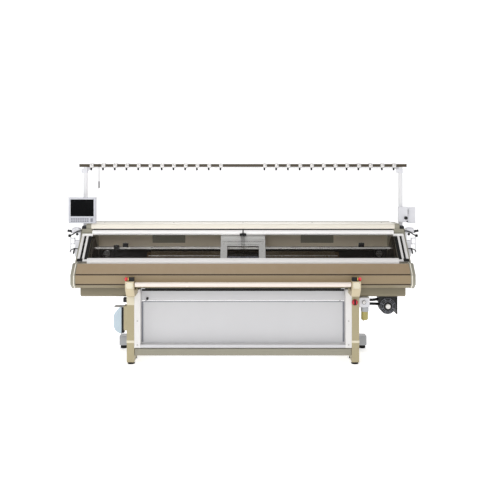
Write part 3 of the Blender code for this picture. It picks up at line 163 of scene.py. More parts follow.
def paint_group():
    group, given, result = new_group("powder_coat", {
        "Colour": (0.5, 0.5, 0.5, 1.0), "Roughness": 0.4, "Clouds": 0.06, "Dust": 0.15, "Wear": 0.2})
    tone = cloud(group, 3.5, 4.0)
    colour = clouded(group, given, tone)[1]
    shape = add(group, "ShaderNodeNewGeometry").outputs["Normal"]
    level = add(group, "ShaderNodeSeparateXYZ", {"Vector": shape}).outputs["Z"]
    upward = remap(group, level, 0.55, 1.0, 0.0, 1.0)
    patches = remap(group, cloud(group, 14.0, 5.0), 0.40, 0.65, 0.2, 1.0)
    dusty = figure(group, "MULTIPLY", upward, patches)
    dusted = figure(group, "MULTIPLY", dusty, given["Dust"])
    coated = blended(group, dusted, colour, DUST)
    rounded = add(group, "ShaderNodeBevel", {"Radius": EDGE_REACH}, samples=4).outputs["Normal"]
    agree = add(group, "ShaderNodeVectorMath", {0: shape, 1: rounded}, operation="DOT_PRODUCT")
    edge = remap(group, agree.outputs["Value"], 0.995, 0.90, 0.0, 1.0)
    scuffs = remap(group, cloud(group, 60.0, 4.0), 0.45, 0.60, 0.1, 1.0)
    worn = figure(group, "MULTIPLY", edge, scuffs)
    rubbed = figure(group, "MULTIPLY", worn, given["Wear"])
    group.links.new(blended(group, rubbed, coated, BARE_EDGE), result.inputs["Colour"])
    rough = figure(group, "MULTIPLY_ADD", tone, 0.16, -0.08)
    rougher = figure(group, "MULTIPLY_ADD", dusted, 0.4, rough)
    total = figure(group, "ADD", rougher, given["Roughness"])
    group.links.new(total, result.inputs["Roughness"])
    group.links.new(cloud(group, 420.0, 2.0), result.inputs["Height"])
    return group


PAINT = paint_group()
print("group:", PAINT.name)

# %% [markdown]
# ## Ground and brushed metal
# Rails and beds are ground along their length, so the scratches run one way. Stretching the noise space
# along X gives long thin streaks, which vary the tone, the roughness and the height together.

# %% Metal group
STAIN = chart(74, 62, 50)


def metal_group():
    group, given, result = new_group("ground_metal", {
        "Colour": (0.5, 0.5, 0.5, 1.0), "Roughness": 0.3, "Streaks": 0.12, "Stains": 0.1})
    streak = cloud(group, 220.0, 3.0, (0.03, 1.0, 1.0))
    offset = figure(group, "SUBTRACT", streak, 0.5)
    value = figure(group, "MULTIPLY_ADD", offset, given["Streaks"], 1.0)
    colour = toned(group, given["Colour"], value)
    blotch = remap(group, cloud(group, 9.0, 6.0), 0.50, 0.72, 0.0, 1.0)
    stain = figure(group, "MULTIPLY", blotch, given["Stains"])
    group.links.new(blended(group, stain, colour, STAIN), result.inputs["Colour"])
    rough = figure(group, "MULTIPLY_ADD", offset, 0.25, given["Roughness"])
    total = figure(group, "MULTIPLY_ADD", stain, 0.5, rough)
    group.links.new(total, result.inputs["Roughness"])
    group.links.new(streak, result.inputs["Height"])
    return group


METAL = metal_group()
print("group:", METAL.name)

# %% [markdown]
# ## Moulded plastic and rubber
# Moulded parts leave the tool with a fine spark-eroded grain. They also polish where they are touched,
# which shows as broad patches of lower roughness.

# %% Plastic group
def plastic_group():
    group, given, result = new_group("moulded_grain", {
        "Colour": (0.5, 0.5, 0.5, 1.0), "Roughness": 0.45, "Grain": 900.0, "Clouds": 0.05})
    offset, colour = clouded(group, given, cloud(group, 6.0, 4.0))
    group.links.new(colour, result.inputs["Colour"])
    total = figure(group, "MULTIPLY_ADD", offset, 0.3, given["Roughness"])
    group.links.new(total, result.inputs["Roughness"])
    place = add(group, "ShaderNodeTexCoord").outputs["Object"]
    grain = add(group, "ShaderNodeTexVoronoi", {"Vector": place, "Scale": given["Grain"]}).outputs["Distance"]
    group.links.new(grain, result.inputs["Height"])
    return group


PLASTIC = plastic_group()
print("group:", PLASTIC.name)

# %% [markdown]
# ## One function for every finish
# A finish is a group, its values, and the few constants that belong to the shader: how metallic it is,
# whether it has a clear coat, and how deep its texture reads.

# %% Finishes
TEXTURE_DEPTH = 0.001


def finish(name, group, values, metallic=0.0, coat=0.0, bump=0.05, alpha=1.0, sheen_level=0.5):
    """A material around a group; the constants go straight onto the shader's sockets."""
    made = bpy.data.materials.new(name)
    made.use_nodes = True
    tree = made.node_tree
    shader = tree.nodes["Principled BSDF"]
    layer = add(tree, "ShaderNodeGroup", node_tree=group)
    for label, value in values.items():
        layer.inputs[label].default_value = value
    tree.links.new(layer.outputs["Colour"], shader.inputs["Base Color"])
    tree.links.new(layer.outputs["Roughness"], shader.inputs["Roughness"])
    relief = {"Height": layer.outputs["Height"], "Strength": bump, "Distance": TEXTURE_DEPTH}
    skin = add(tree, "ShaderNodeBump", relief)
    tree.links.new(skin.outputs["Normal"], shader.inputs["Normal"])
    shader.inputs["Metallic"].default_value = metallic
    shader.inputs["Coat Weight"].default_value = coat
    shader.inputs["Alpha"].default_value = alpha
    shader.inputs["Specular IOR Level"].default_value = sheen_level
    return made


def paint(name, colour, rough=0.42, clouds=0.05, dust=0.12, wear=0.2):
    values = {"Colour": chart(*colour), "Roughness": rough, "Clouds": clouds, "Dust": dust, "Wear": wear}
    return finish(name, PAINT, values, bump=0.12)


def metal(name, colour, rough=0.3, streaks=0.3, stains=0.15, metallic=1.0):
    values = {"Colour": chart(*colour), "Roughness": rough, "Streaks": streaks, "Stains": stains}
    return finish(name, METAL, values, metallic=metallic, bump=0.08)


def plastic(name, colour, rough=0.45, grain=900.0, clouds=0.05, coat=0.0, alpha=1.0, sheen_level=0.4):
    values = {"Colour": chart(*colour), "Roughness": rough, "Grain": grain, "Clouds": clouds}
    return finish(name, PLASTIC, values, coat=coat, bump=0.10, alpha=alpha, sheen_level=sheen_level)


TAN = paint("tan_powder_coat", (158, 137, 108), 0.40)
# Lit and shaded copies of the tan paint for the front cover: a painted highlight on its top lip, and painted shade
# on its middle band, its lower band and its grooves.
TAN_MIDDLE_SHADE = paint("tan_middle_band_painted_shade", (146, 128, 98), 0.42)
TAN_LOWER_SHADE = paint("tan_underside_painted_shade", (128, 116, 86), 0.45, wear=0.1)
TAN_LIP_HIGHLIGHT = paint("tan_lip_painted_highlight", (214, 200, 180), 0.36, wear=0.0)
TAN_GROOVE_SHADE = paint("tan_groove_painted_shade", (72, 58, 44), 0.6, dust=0.0, wear=0.0)
KHAKI = paint("khaki_powder_coat", (172, 161, 128), 0.45)
KHAKI_LIGHT = paint("light_collar_paint", (222, 214, 190), 0.45)
BEIGE = paint("beige_casting_paint", (200, 186, 154), 0.42, wear=0.35)
OLIVE = paint("olive_powder_coat", (150, 146, 130), 0.46)
PAN = paint("grey_olive_pan_paint", (126, 118, 96), 0.5, dust=0.05)
OLIVE_DARK = paint("dark_olive_paint", (66, 55, 36), 0.5, dust=0.03, wear=0.05)
CAP_GREY = paint("end_cap_paint", (150, 147, 132), 0.42)
WALL = paint("inner_wall_paint", (236, 222, 198), 0.5, dust=0.1)
WHITE = paint("white_powder_coat", (228, 226, 224), 0.34, clouds=0.025, dust=0.08, wear=0.0)
# A lighter copy of the white paint, used as a painted highlight on the window frame.
WHITE_HIGHLIGHT = paint("white_frame_painted_highlight", (252, 250, 248), 0.30, clouds=0.02, dust=0.0, wear=0.0)
PANEL = paint("light_panel_paint", (208, 208, 210), 0.40, clouds=0.03)
BAR = paint("start_bar_enamel", (236, 224, 214), 0.28, clouds=0.02, wear=0.0)
CREAM = paint("cream_powder_coat", (234, 228, 214), 0.36, clouds=0.03)
GREY = paint("grey_powder_coat", (172, 174, 178), 0.42)
STEEL = metal("ground_steel", (190, 188, 184), 0.26)
BLUED = metal("blued_steel", (66, 62, 56), 0.42, stains=0.3)
# Dark brown steel for the needle beds: partly the beds' own dark steel, partly painted shade for the shaded inside
# of the machine.
BED_STEEL_AND_SHADE = metal("bed_steel_and_painted_shade", (84, 68, 46), 0.46, stains=0.25, metallic=0.7)
CAST = metal("silver_casting", (214, 213, 210), 0.46, streaks=0.10, stains=0.03, metallic=0.25)
NEEDLE = metal("needle_steel", (120, 108, 88), 0.35, metallic=0.6)
BLACK = plastic("black_moulding", (11, 11, 12), 0.5)
BLACK_GLOSS = plastic("black_glass", (5, 6, 7), 0.22, clouds=0.01, sheen_level=0.12)
LIGHT = plastic("light_grey_moulding", (218, 218, 222), 0.42)
BEZEL = plastic("silver_grey_moulding", (198, 199, 205), 0.36)
KEY = plastic("key_grey_moulding", (132, 134, 142), 0.4)
POST = paint("light_grey_post_paint", (226, 226, 227), 0.38, clouds=0.02, wear=0.0)
RED = plastic("red_moulding", (222, 36, 52), 0.26, clouds=0.04, coat=0.5)
RED_DARK = plastic("dark_red_moulding", (168, 18, 36), 0.34, coat=0.2)
YELLOW = plastic("yellow_collar", (226, 196, 96), 0.38)
# Black rubber for feet, belts and rollers; the same black also paints shadow strips into gaps.
RUBBER_AND_SHADE = plastic("black_rubber_and_painted_shade", (17, 16, 15), 0.78, grain=500.0)
BOTTLE = plastic("milky_bottle", (196, 212, 222), 0.30, clouds=0.03, alpha=0.88)
BOWL = plastic("amber_bowl", (172, 160, 84), 0.22, clouds=0.08, coat=0.4, alpha=0.85)

# %% [markdown]
# ## Shapes in mesh code
# A bench of small shape makers covers nearly everything on a machine like this: straight sections, turned
# parts, bent wire and blocks. They all add to one mesh, so that a piece made of many small shapes, such as
# a row of screws, is still one object that can ride on one body.

# %% Shape makers
def close_rings(mesh, rings, tag):
    """Join each ring of points to the next, cap both ends, and give every face a material index."""
    faces = [mesh.faces.new(rings[0]), mesh.faces.new(rings[-1])]
    for first, second in zip(rings, rings[1:]):
        for index in range(len(first)):
            after = (index + 1) % len(first)
            faces.append(mesh.faces.new((first[index], first[after], second[after], second[index])))
    bmesh.ops.recalc_face_normals(mesh, faces=faces)
    for face in faces:
        face.material_index = tag


def section(mesh, outline, low, high, axis="X", tag=0):
    """Extrude a closed outline between two stations; tag is the material index of its faces."""
    place = {"X": lambda u, v, w: (w, u, v),
             "Y": lambda u, v, w: (u, w, v),
             "Z": lambda u, v, w: (u, v, w)}[axis]
    ends = [[mesh.verts.new(place(u, v, station)) for u, v in outline] for station in sorted((low, high))]
    close_rings(mesh, ends, tag)


def block(mesh, low, high, tag=0):
    """A block between two corners."""
    outline = [(low[1], low[2]), (high[1], low[2]), (high[1], high[2]), (low[1], high[2])]
    section(mesh, outline, low[0], high[0], "X", tag)


def ring_points(centre, radius, count, begin=0.0):
    """Points around a circle."""
    turns = [begin + 2.0 * math.pi * index / count for index in range(count)]
    return [(centre[0] + radius * math.cos(turn), centre[1] + radius * math.sin(turn)) for turn in turns]


def lathe(mesh, centre, profile, axis="Y", count=28, tag=0):
    """Turn a profile of (station, radius) about an axis through centre, and close its ends."""
    place = {"X": lambda s, a, b: (s, centre[0] + a, centre[1] + b),
             "Y": lambda s, a, b: (centre[0] + a, s, centre[1] + b),
             "Z": lambda s, a, b: (centre[0] + a, centre[1] + b, s)}[axis]
    rings = [[mesh.verts.new(place(station, a, b)) for a, b in ring_points((0, 0), radius, count)]
             for station, radius in profile]
    close_rings(mesh, rings, tag)


def smooth_route(points, steps=6):
    """Points of a Catmull-Rom curve through the given ones."""
    route = [Vector(point) for point in points]
    route = [route[0] * 2 - route[1], *route, route[-1] * 2 - route[-2]]
    curve = []
    for a, b, c, d in zip(route, route[1:], route[2:], route[3:]):
        for step in range(steps):
            t = step / steps
            curve.append(0.5 * (2 * b + (c - a) * t + (2 * a - 5 * b + 4 * c - d) * t * t
                                + (3 * b - a - 3 * c + d) * t ** 3))
    return [*curve, route[-2]]


def wire(mesh, points, radius, count=8, tag=0):
    """A round wire or hose along points, closed at both ends."""
    rings = []
    across = Vector((0.0, 0.0, 1.0))
    for index, point in enumerate(points):
        heading = (points[min(index + 1, len(points) - 1)] - points[max(index - 1, 0)]).normalized()
        if abs(across.dot(heading)) > 0.95:
            across = Vector((1.0, 0.0, 0.0)) if abs(heading.x) < 0.9 else Vector((0.0, 1.0, 0.0))
        across = (across - heading * across.dot(heading)).normalized()
        third = heading.cross(across)
        rings.append([mesh.verts.new(point + across * a + third * b)
                      for a, b in ring_points((0, 0), radius, count)])
    close_rings(mesh, rings, tag)


def hoop(mesh, centre, radius, thickness, half_count=8, tag=0):
    """A ring of round wire, upright and facing along Y."""
    turns = [index * math.pi / half_count for index in range(2 * half_count + 1)]
    points = [Vector((centre[0] + radius * math.cos(turn), centre[1], centre[2] + radius * math.sin(turn)))
              for turn in turns]
    wire(mesh, points, thickness, 6, tag)


print("four points of a ring:", ring_points((0, 0), 1.0, 4))

# %% [markdown]
# ## From mesh to finished piece
# Real sheet metal and castings have no razor edges, and a rounded edge catches a line of light that tells
# the eye how big a thing is. So every piece gets a Bevel modifier limited to its sharp edges, and smooth
# shading that stops at what stays sharp.

# %% Piece maker
SHARP_ANGLE = math.radians(34)
FLAT_ANGLE = math.radians(0.5)
made_pieces = []


def make_piece(name, mesh, finishes, body, rounding=0.001, segments=2, stands_for=()):
    """Turn a mesh into a finished object that rides on a body."""
    data = bpy.data.meshes.new(name)
    mesh.to_mesh(data)
    mesh.free()
    for material in finishes:
        data.materials.append(material)
    data.shade_smooth()
    data.set_sharp_from_angle(angle=SHARP_ANGLE)
    result = bpy.data.objects.new(name, data)
    bpy.context.scene.collection.objects.link(result)
    if rounding:
        edge = result.modifiers.new("rounded_edges", "BEVEL")
        edge.width = rounding
        edge.segments = segments
        edge.limit_method = "ANGLE"
        edge.angle_limit = SHARP_ANGLE
        edge.harden_normals = True
    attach(result, body)
    if stands_for:
        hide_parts(*stands_for)
    made_pieces.append(name)
    return result


told = []


def tell(step):
    """Print the pieces that a step has made."""
    fresh = made_pieces[len(told):]
    told.extend(fresh)
    print(step + ":", *fresh)


def block_piece(name, material, low, high, body, rounding=0.001, segments=2):
    """A piece that is one block."""
    mesh = bmesh.new()
    block(mesh, low, high)
    return make_piece(name, mesh, (material,), body, rounding, segments)


print("edges are rounded from", round(math.degrees(SHARP_ANGLE)), "degrees")

# %% [markdown]
# ## Softening the engineering parts
# The engineering solids have the right shape with hard edges and triangulated faces. A softened copy is
# welded, its flat faces are joined again, and it stands for the solid. Accents give some of its faces
# another finish, such as rubber on the feet of a leg, with a test on where a face lies.

# %% Softened copies
WELD = 0.00002
BODY_OF = {node: body for body, nodes in frame["record"]["behaviour"]["bodies"].items() for node in nodes}


def soften(node, base, rounding=0.002, segments=2, accents=()):
    """A rounded copy of a CAD node in a finish; accents are (test of a face's centre, finish)."""
    mesh = bmesh.new()
    mesh.from_mesh(frame["nodes"][node].data)
    bmesh.ops.remove_doubles(mesh, verts=mesh.verts, dist=WELD)
    if rounding:
        bmesh.ops.dissolve_limit(mesh, angle_limit=FLAT_ANGLE, verts=mesh.verts, edges=mesh.edges)
    for face in mesh.faces:
        centre = face.calc_center_median()
        matches = [index + 1 for index, (test, _) in enumerate(accents) if test(centre)]
        face.material_index = matches[0] if matches else 0
    finishes = [base, *(material for _, material in accents)]
    return make_piece(node + "_skin", mesh, finishes, BODY_OF[node], rounding, segments, (node,))


print(len(BODY_OF), "parts can be softened")

# %% [markdown]
# ## The stand
# The legs are welded box section in khaki, on black levelling feet turned with them. A light collar runs
# round each leg, and the back beam is grey. Its feet belong to its solid, so they are picked out by height.

# %% Legs and beams
POST_DEPTH = 0.100
FOOT_TOP = 0.023
HEAD_BEAM = 0.070
COLLAR = (0.210, 0.234)
POST_SIDES = (1.046, 1.118)
POST_FRONT = -0.230
POST_BACK = POST_FRONT + POST_DEPTH
BEAM_LOW, BEAM_HIGH = 0.037, 0.117
for name, side in (("left_leg", -1), ("right_leg", 1)):
    low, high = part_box(name)
    x = sorted(side * face for face in POST_SIDES)
    mesh = bmesh.new()
    block(mesh, (x[0], POST_FRONT, FOOT_TOP), (x[1], POST_BACK, high.z))
    block(mesh, (x[0], -POST_BACK, BEAM_HIGH - 0.001), (x[1], -POST_FRONT, high.z))
    block(mesh, (x[0], POST_BACK - 0.002, BEAM_LOW), (x[1], high.y, BEAM_HIGH))
    block(mesh, (x[0], POST_BACK - 0.002, high.z - HEAD_BEAM), (x[1], 0.002 - POST_BACK, high.z))
    block(mesh, (x[0] - 0.002, POST_FRONT - 0.003, COLLAR[0]),
          (x[1] + 0.002, POST_BACK + 0.003, COLLAR[1]), 1)
    if side < 0:
        block(mesh, (low.x, POST_FRONT + 0.002, 0.330), (x[0] + 0.004, POST_BACK - 0.002, 0.565))
        block(mesh, (x[0] - 0.001, POST_FRONT - 0.002, 0.575), (x[1] + 0.001, POST_FRONT + 0.010, 0.655), 1)
    middle = side * sum(POST_SIDES) / 2
    for y, foot_radius, top in ((POST_FRONT + POST_DEPTH / 2, 0.036, FOOT_TOP), (0.0, 0.028, BEAM_LOW)):
        pad = [(0.0, foot_radius), (top * 0.45, foot_radius), (top * 0.60, foot_radius * 0.80)]
        stem = [(top * 0.55, foot_radius * 0.45), (top + 0.002, foot_radius * 0.45)]
        lathe(mesh, (middle, y), pad, "Z", 24, 2)
        lathe(mesh, (middle, y), stem, "Z", 12, 3)
    finishes = (KHAKI, KHAKI_LIGHT, RUBBER_AND_SHADE, STEEL)
    make_piece(name + "_weldment", mesh, finishes, "machine_frame", 0.004, 3, (name,))
soften("front_crossbar", OLIVE, 0.004, 3)
BEAM_FEET_TOP = 0.0364
soften("rear_stabiliser", GREY, 0.005, 3, ((lambda c: c.z < BEAM_FEET_TOP, RUBBER_AND_SHADE),))
mesh = bmesh.new()
for side in (-1, 1):
    for y in (-0.180, 0.180):
        block(mesh, (side * 1.1175, y - 0.047, 0.6880), (side * 1.1195, y + 0.047, 0.6905))
make_piece("leg_weld_seams", mesh, (KHAKI_LIGHT,), "machine_frame", 0.0005)
tell("stand")

# %% [markdown]
# ## Beds, rails and needles
# Two beds meet at 45 degrees, so it pays to work in a bed's own two directions: down its slope, and square
# to its surface. The needles are separate thin blades at a twelve-gauge pitch. Each has a hook at the gap
# and a butt further down, which the cams of the carriage push.

# %% Bed coordinates
HALF_RIGHT = math.sqrt(0.5)
GAP_HALF = 0.0021
gap_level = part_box("front_needle_bed")[1].z + GAP_HALF


def on_bed(slope, height, side=-1):
    """(y, z) of a point down a bed's slope and square to its surface; side is -1 in front, 1 behind."""
    return (side * (slope + height) * HALF_RIGHT, gap_level - (slope - height) * HALF_RIGHT)


def bed_outline(points, side=-1):
    """An outline in (y, z) from points down a bed's slope and square to its surface."""
    return [on_bed(slope, height, side) for slope, height in points]


def bed_bar(begin, end, foot, top, side=-1):
    """The outline of a bar that lies along a bed."""
    return bed_outline(((begin, foot), (end, foot), (end, top), (begin, top)), side)


soften("front_bed_beam", OLIVE_DARK, 0.002)
soften("rear_bed_beam", OLIVE_DARK, 0.002)
# The beds' dark brown is partly their own colour and partly painted shade inside the machine.
soften("front_needle_bed", BED_STEEL_AND_SHADE, 0)
soften("rear_needle_bed", BED_STEEL_AND_SHADE, 0.001)
soften("front_carriage_rail", STEEL, 0.001)
soften("rear_carriage_rail", STEEL, 0.001)
soften("carrier_rail_frame", BLUED, 0.001, 2, ((lambda c: abs(c.x) < 1.46 and c.z > 1.08, STEEL),))
tell("bed coordinates")

# %% Needles
NEEDLE_PITCH = 0.0254 / 12
NEEDLE_REACH = 0.914
NEEDLE_THICK = 0.0004
BAR_OVERHANG = 0.02
BLADE = [(0.004, 0.0031), (0.004, 0.0060), (0.009, 0.0060), (0.011, 0.0043), (0.098, 0.0043),
         (0.099, 0.0062), (0.103, 0.0062), (0.104, 0.0043), (0.200, 0.0043), (0.200, 0.0031)]
for name, side, body in (("front_needles", -1, "machine_frame"), ("rear_needles", 1, "rear_bed")):
    mesh = bmesh.new()
    outline = bed_outline(BLADE, side)
    count = int(2 * NEEDLE_REACH / NEEDLE_PITCH)
    for index in range(count):
        x = -NEEDLE_REACH + NEEDLE_PITCH * (index + 0.5)
        section(mesh, outline, x - NEEDLE_THICK, x + NEEDLE_THICK)
    make_piece(name, mesh, (NEEDLE,), body, 0)
    mesh = bmesh.new()
    for begin, wide in ((0.054, 0.008), (0.186, 0.010)):
        strip = bed_bar(begin, begin + wide, 0.0046, 0.0062, side)
        section(mesh, strip, -NEEDLE_REACH - BAR_OVERHANG, NEEDLE_REACH + BAR_OVERHANG)
    make_piece(name + "_bars", mesh, (STEEL,), body, 0.0005)
print(count, "needles in each bed")
tell("needles")

# %% [markdown]
# ## Screws
# A socket screw is a turned head with a hexagonal hole. Seen from a step away it is the dark hole that
# makes it read as a screw, so the head is turned with a recess instead of a flat top.

# %% Screw heads
SCREW_HEAD = [(0.0, 1.0), (0.7, 1.0), (0.9, 0.85), (0.9, 0.5), (0.25, 0.45)]


def screws(name, places, axis, facing, body, radius=0.005, material=STEEL):
    """Socket heads at (x, y, z) places, whose tops face along an axis in the direction of facing."""
    mesh = bmesh.new()
    pick = {"X": (1, 2, 0), "Y": (0, 2, 1), "Z": (0, 1, 2)}[axis]
    for place in places:
        seat = place[pick[2]]
        profile = [(seat + facing * radius * high, radius * wide) for high, wide in SCREW_HEAD]
        lathe(mesh, (place[pick[0]], place[pick[1]]), profile, axis, 12)
    return make_piece(name, mesh, (material,), body, 0)


print("a screw head has", len(SCREW_HEAD), "rings")

# %% [markdown]
# ## The carriage
# The carriage is a silver casting that straddles both beds. Its front cover has a wide opening through
# which the cam boxes show, with their rows of setting motors. A light sill runs across the opening's foot.

# %% Carriage shells
soften("carriage_frame", CAST, 0)
soften("carriage_cover", CAST, 0.003, 3)
soften("front_cam_box", BLUED, 0.003, 3)
soften("rear_cam_box", BLUED, 0.003, 3)
CAM_FACE = 0.0737
COVER_FACE = 0.1203
tell("carriage shells")

# %% Cam box fittings
mesh = bmesh.new()
MOTOR_PITCH = 0.045
motor_rows = ((0.100, 0.022, 0.010), (0.142, 0.030, 0.014), (0.190, 0.024, 0.008))
for row, (begin, wide, rise) in enumerate(motor_rows):
    for index in range(7):
        x = MOTOR_PITCH * (index - 3)
        outline = bed_bar(begin, begin + wide, CAM_FACE, CAM_FACE + rise)
        section(mesh, outline, x - 0.017, x + 0.017, "X", row % 2)
make_piece("cam_setting_motors", mesh, (BLACK, KEY), "carriage", 0.002)
mesh = bmesh.new()
for begin, height in ((0.126, 0.080), (0.132, 0.080), (0.178, 0.082)):
    y, z = on_bed(begin, height)
    wire(mesh, [Vector((x, y, z)) for x in (-0.150, 0.150)], 0.0022)
make_piece("cam_cables", mesh, (KEY,), "carriage", 0)
tell("cam box fittings")

# %% Carriage trim
mesh = bmesh.new()
for begin, wide, rise, half in ((-0.030, 0.007, 0.0012, 0.205), (0.006, 0.005, 0.0012, 0.160),
                                (0.236, 0.020, 0.0030, 0.1535)):
    section(mesh, bed_bar(begin, begin + wide, COVER_FACE - 0.004, COVER_FACE + rise), -half, half)
make_piece("carriage_trim_strips", mesh, (STEEL,), "carriage", 0.0008)
corners = [(x, *on_bed(slope, COVER_FACE)) for x in (-0.187, 0.187) for slope in (0.0, 0.09, 0.18)]
screws("carriage_cover_screws", corners, "Y", -1, "carriage", 0.004)
tell("carriage trim")

# %% [markdown]
# ## Yarn carriers
# A yarn carrier is a small black block that runs on its rail, with a steel tube that brings one yarn to
# the needles. A clip is enough to show that it comes apart.

# %% Yarn carriers
for carrier in ("yarn_carrier_1", "yarn_carrier_2", "yarn_carrier_3"):
    soften(carrier, BLACK, 0)
    low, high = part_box(carrier)
    x = (low.x + high.x) / 2
    mesh = bmesh.new()
    first = carrier == "yarn_carrier_1"
    crown = high.z + (0.006 if first else 0.022)
    back = low.y + 0.009 if first else high.y - 0.001
    middle = (low.y + 0.001 + back) / 2
    block(mesh, (x - 0.027, low.y + 0.001, high.z - 0.002), (x + 0.027, back, crown))
    lathe(mesh, (x, middle), [(crown - 0.001, 0.0036), (crown + 0.008, 0.0036), (crown + 0.010, 0.0025)],
          "Z", 14, 1)
    make_piece(carrier + "_clip", mesh, (BLACK, STEEL), carrier, 0.001)
tell("yarn carriers")

# %% [markdown]
# ## Drives
# The toothed belt, its pulleys and the motor sit behind the carriage, and the take-down rollers sit under
# the fabric slot. Rubber-covered rollers have steel journals, which an accent picks out by their place.

# %% Belt drive and take-down
soften("drive_belt", RUBBER_AND_SHADE, 0)
for pulley in ("drive_pulley", "idler_pulley"):
    soften(pulley, STEEL, 0.001)
soften("drive_motor", BLACK, 0.004, 3)
soften("racking_screw", STEEL, 0.0005)
JOURNAL = 0.9385
for roller in ("takedown_roller_front", "takedown_roller_rear"):
    soften(roller, RUBBER_AND_SHADE, 0.001, 2, ((lambda c: abs(c.x) > JOURNAL, STEEL),))
plate_end = -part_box("takedown_frame")[0].x
soften("takedown_frame", GREY, 0.002, 2, ((lambda c: c.x > plate_end + 0.0005, BLACK),))
tell("belt drive and take-down")

# %% Roller sleeves
SLEEVE_PITCH = 0.098
roll_low, roll_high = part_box("takedown_roller_front")
radius = (roll_high.z - roll_low.z) / 2
middle = (roll_high.z + roll_low.z) / 2
for name, y, body in (("front_roller_sleeves", roll_low.y + radius, "roller_front"),
                      ("rear_roller_sleeves", -roll_low.y - radius, "roller_rear")):
    mesh = bmesh.new()
    for index in range(-9, 10):
        x = index * SLEEVE_PITCH
        lathe(mesh, (y, middle), [(x - 0.002, radius - 0.001), (x - 0.0015, radius + 0.0002),
                                  (x + 0.0015, radius + 0.0002), (x + 0.002, radius - 0.001)], "X", 28)
    make_piece(name, mesh, (KEY,), body, 0)
tell("roller sleeves")

# %% [markdown]
# ## The window
# Smoked acrylic is dark because it absorbs light, yet it must let the eye and the lamps through. An alpha
# value on a dark glossy surface does both, keeps shadows soft, and needs far fewer samples than refraction.

# %% Smoked acrylic
def acrylic():
    made = bpy.data.materials.new("smoked_acrylic")
    made.use_nodes = True
    tree = made.node_tree
    shader = tree.nodes["Principled BSDF"]
    haze = remap(tree, cloud(tree, 5.0, 4.0), 0.3, 0.7, 0.03, 0.10)
    tree.links.new(haze, shader.inputs["Roughness"])
    shader.inputs["Base Color"].default_value = chart(40, 34, 26)
    shader.inputs["Alpha"].default_value = 0.10
    shader.inputs["IOR"].default_value = 1.49
    return made


SMOKED = acrylic()
for panel in ("window_panel_left", "window_panel_right"):
    soften(panel, SMOKED, 0)
tell("smoked acrylic")

# %% Window frame and its seals
# Painted highlight: the upper bar and the frontmost faces get a lighter copy of the frame's white paint.
soften("window_frame", WHITE, 0.002, 3, ((lambda c: c.z > 1.18, WHITE_HIGHLIGHT), (lambda c: c.y < -0.335, WHITE_HIGHLIGHT)))
frame_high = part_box("window_frame")[1]
SEAT = 0.1227
for name, side in (("left", -1), ("right", 1)):
    mesh = bmesh.new()
    for begin, end in ((1.5488, 1.5692), (1.4965, 1.5272)):
        section(mesh, bed_bar(-0.094, 0.214, SEAT, SEAT + 0.004), side * begin, side * end)
    wedge = bed_outline(((0.190, SEAT + 0.0125), (0.226, SEAT + 0.0125),
                         (0.232, SEAT + 0.022), (0.204, SEAT + 0.024)))
    section(mesh, wedge, side * 1.540, side * 1.592)
    make_piece(name + "_window_seal", mesh, (RUBBER_AND_SHADE,), "machine_frame", 0.001)
tell("window frame and its seals")

# %% Window catch and handles
bar_face = -0.0355
mesh = bmesh.new()
block(mesh, (-0.006, bar_face - 0.010, 1.226), (0.006, bar_face - 0.001, 1.284))
hook = bed_outline(((-0.098, 0.156), (-0.072, 0.156), (-0.066, 0.162), (-0.070, 0.170), (-0.098, 0.166)))
section(mesh, hook, -0.032, 0.032)
make_piece("window_catch", mesh, (BLACK,), "machine_frame", 0.003, 3)
for name, x, height in (("left", -0.060, 0.1406), ("right", 0.060, 0.1485)):
    mesh = bmesh.new()
    grip = bed_outline(((0.120, height), (0.180, height), (0.178, height + 0.0028), (0.122, height + 0.0028)))
    section(mesh, grip, x - 0.007, x + 0.007)
    make_piece(name + "_window_pull", mesh, (SMOKED,), "window_" + name, 0.001, 3)
tell("window fittings")

# %% [markdown]
# ## Covers
# The long tan cover has two shallow grooves that stiffen it, and a cast cap on each end. The caps have a
# pale band on their inner half, made as a second skin one millimetre proud of the cap's own outline.

# %% Front cover and end caps
cover_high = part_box("front_cover")[1]
grooves = (cover_high.z - 0.090, cover_high.z - 0.182)
# The cover is painted lighter at its top lip as a painted highlight, and darker on the middle and lower bands and
# in the grooves as painted shade.
soften("front_cover", TAN, 0.001, 2, (
    (lambda c: c.z > cover_high.z - 0.0015, TAN_LIP_HIGHLIGHT),
    (lambda c: c.y < -0.2 and min(abs(c.z - grooves[0]), abs(c.z - grooves[1])) < 0.0065, TAN_GROOVE_SHADE),
    (lambda c: c.z < grooves[1], TAN_LOWER_SHADE), (lambda c: c.z < grooves[0], TAN_MIDDLE_SHADE)))
for cap in ("left_end_cap", "right_end_cap"):
    soften(cap, CAP_GREY, 0)
    low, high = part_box(cap)
    outer = math.copysign(max(abs(low.x), abs(high.x)), low.x)
    inner = math.copysign(min(abs(low.x), abs(high.x)), low.x)
    corners = [(high.y, high.z), (high.y - 0.072, high.z), (low.y, high.z - 0.096), (low.y, high.z - 0.190),
               (low.y + 0.055, low.z), (high.y, low.z)]
    middle = ((low.y + high.y) / 2, (low.z + high.z) / 2)
    band = [(middle[0] + (y - middle[0]) * 1.012, middle[1] + (z - middle[1]) * 1.008) for y, z in corners]
    mesh = bmesh.new()
    section(mesh, band, inner + (outer - inner) * 0.10, inner + (outer - inner) * 0.48)
    make_piece(cap + "_band", mesh, (CREAM,), "machine_frame", 0.008, 4)
tell("front cover and end caps")

# %% Housings, pans and rear cover
for housing in ("left_end_housing", "right_end_housing"):
    soften(housing, OLIVE, 0.006, 3)
for pan in ("left_pan", "right_pan"):
    soften(pan, PAN, 0.005, 3)
soften("rear_cover", TAN, 0.002, 2)
soften("inner_back_panel", WALL, 0)
soften("top_cover", CREAM, 0.002, 3)
soften("cone_table", LIGHT, 0)
tell("housings, pans and rear cover")

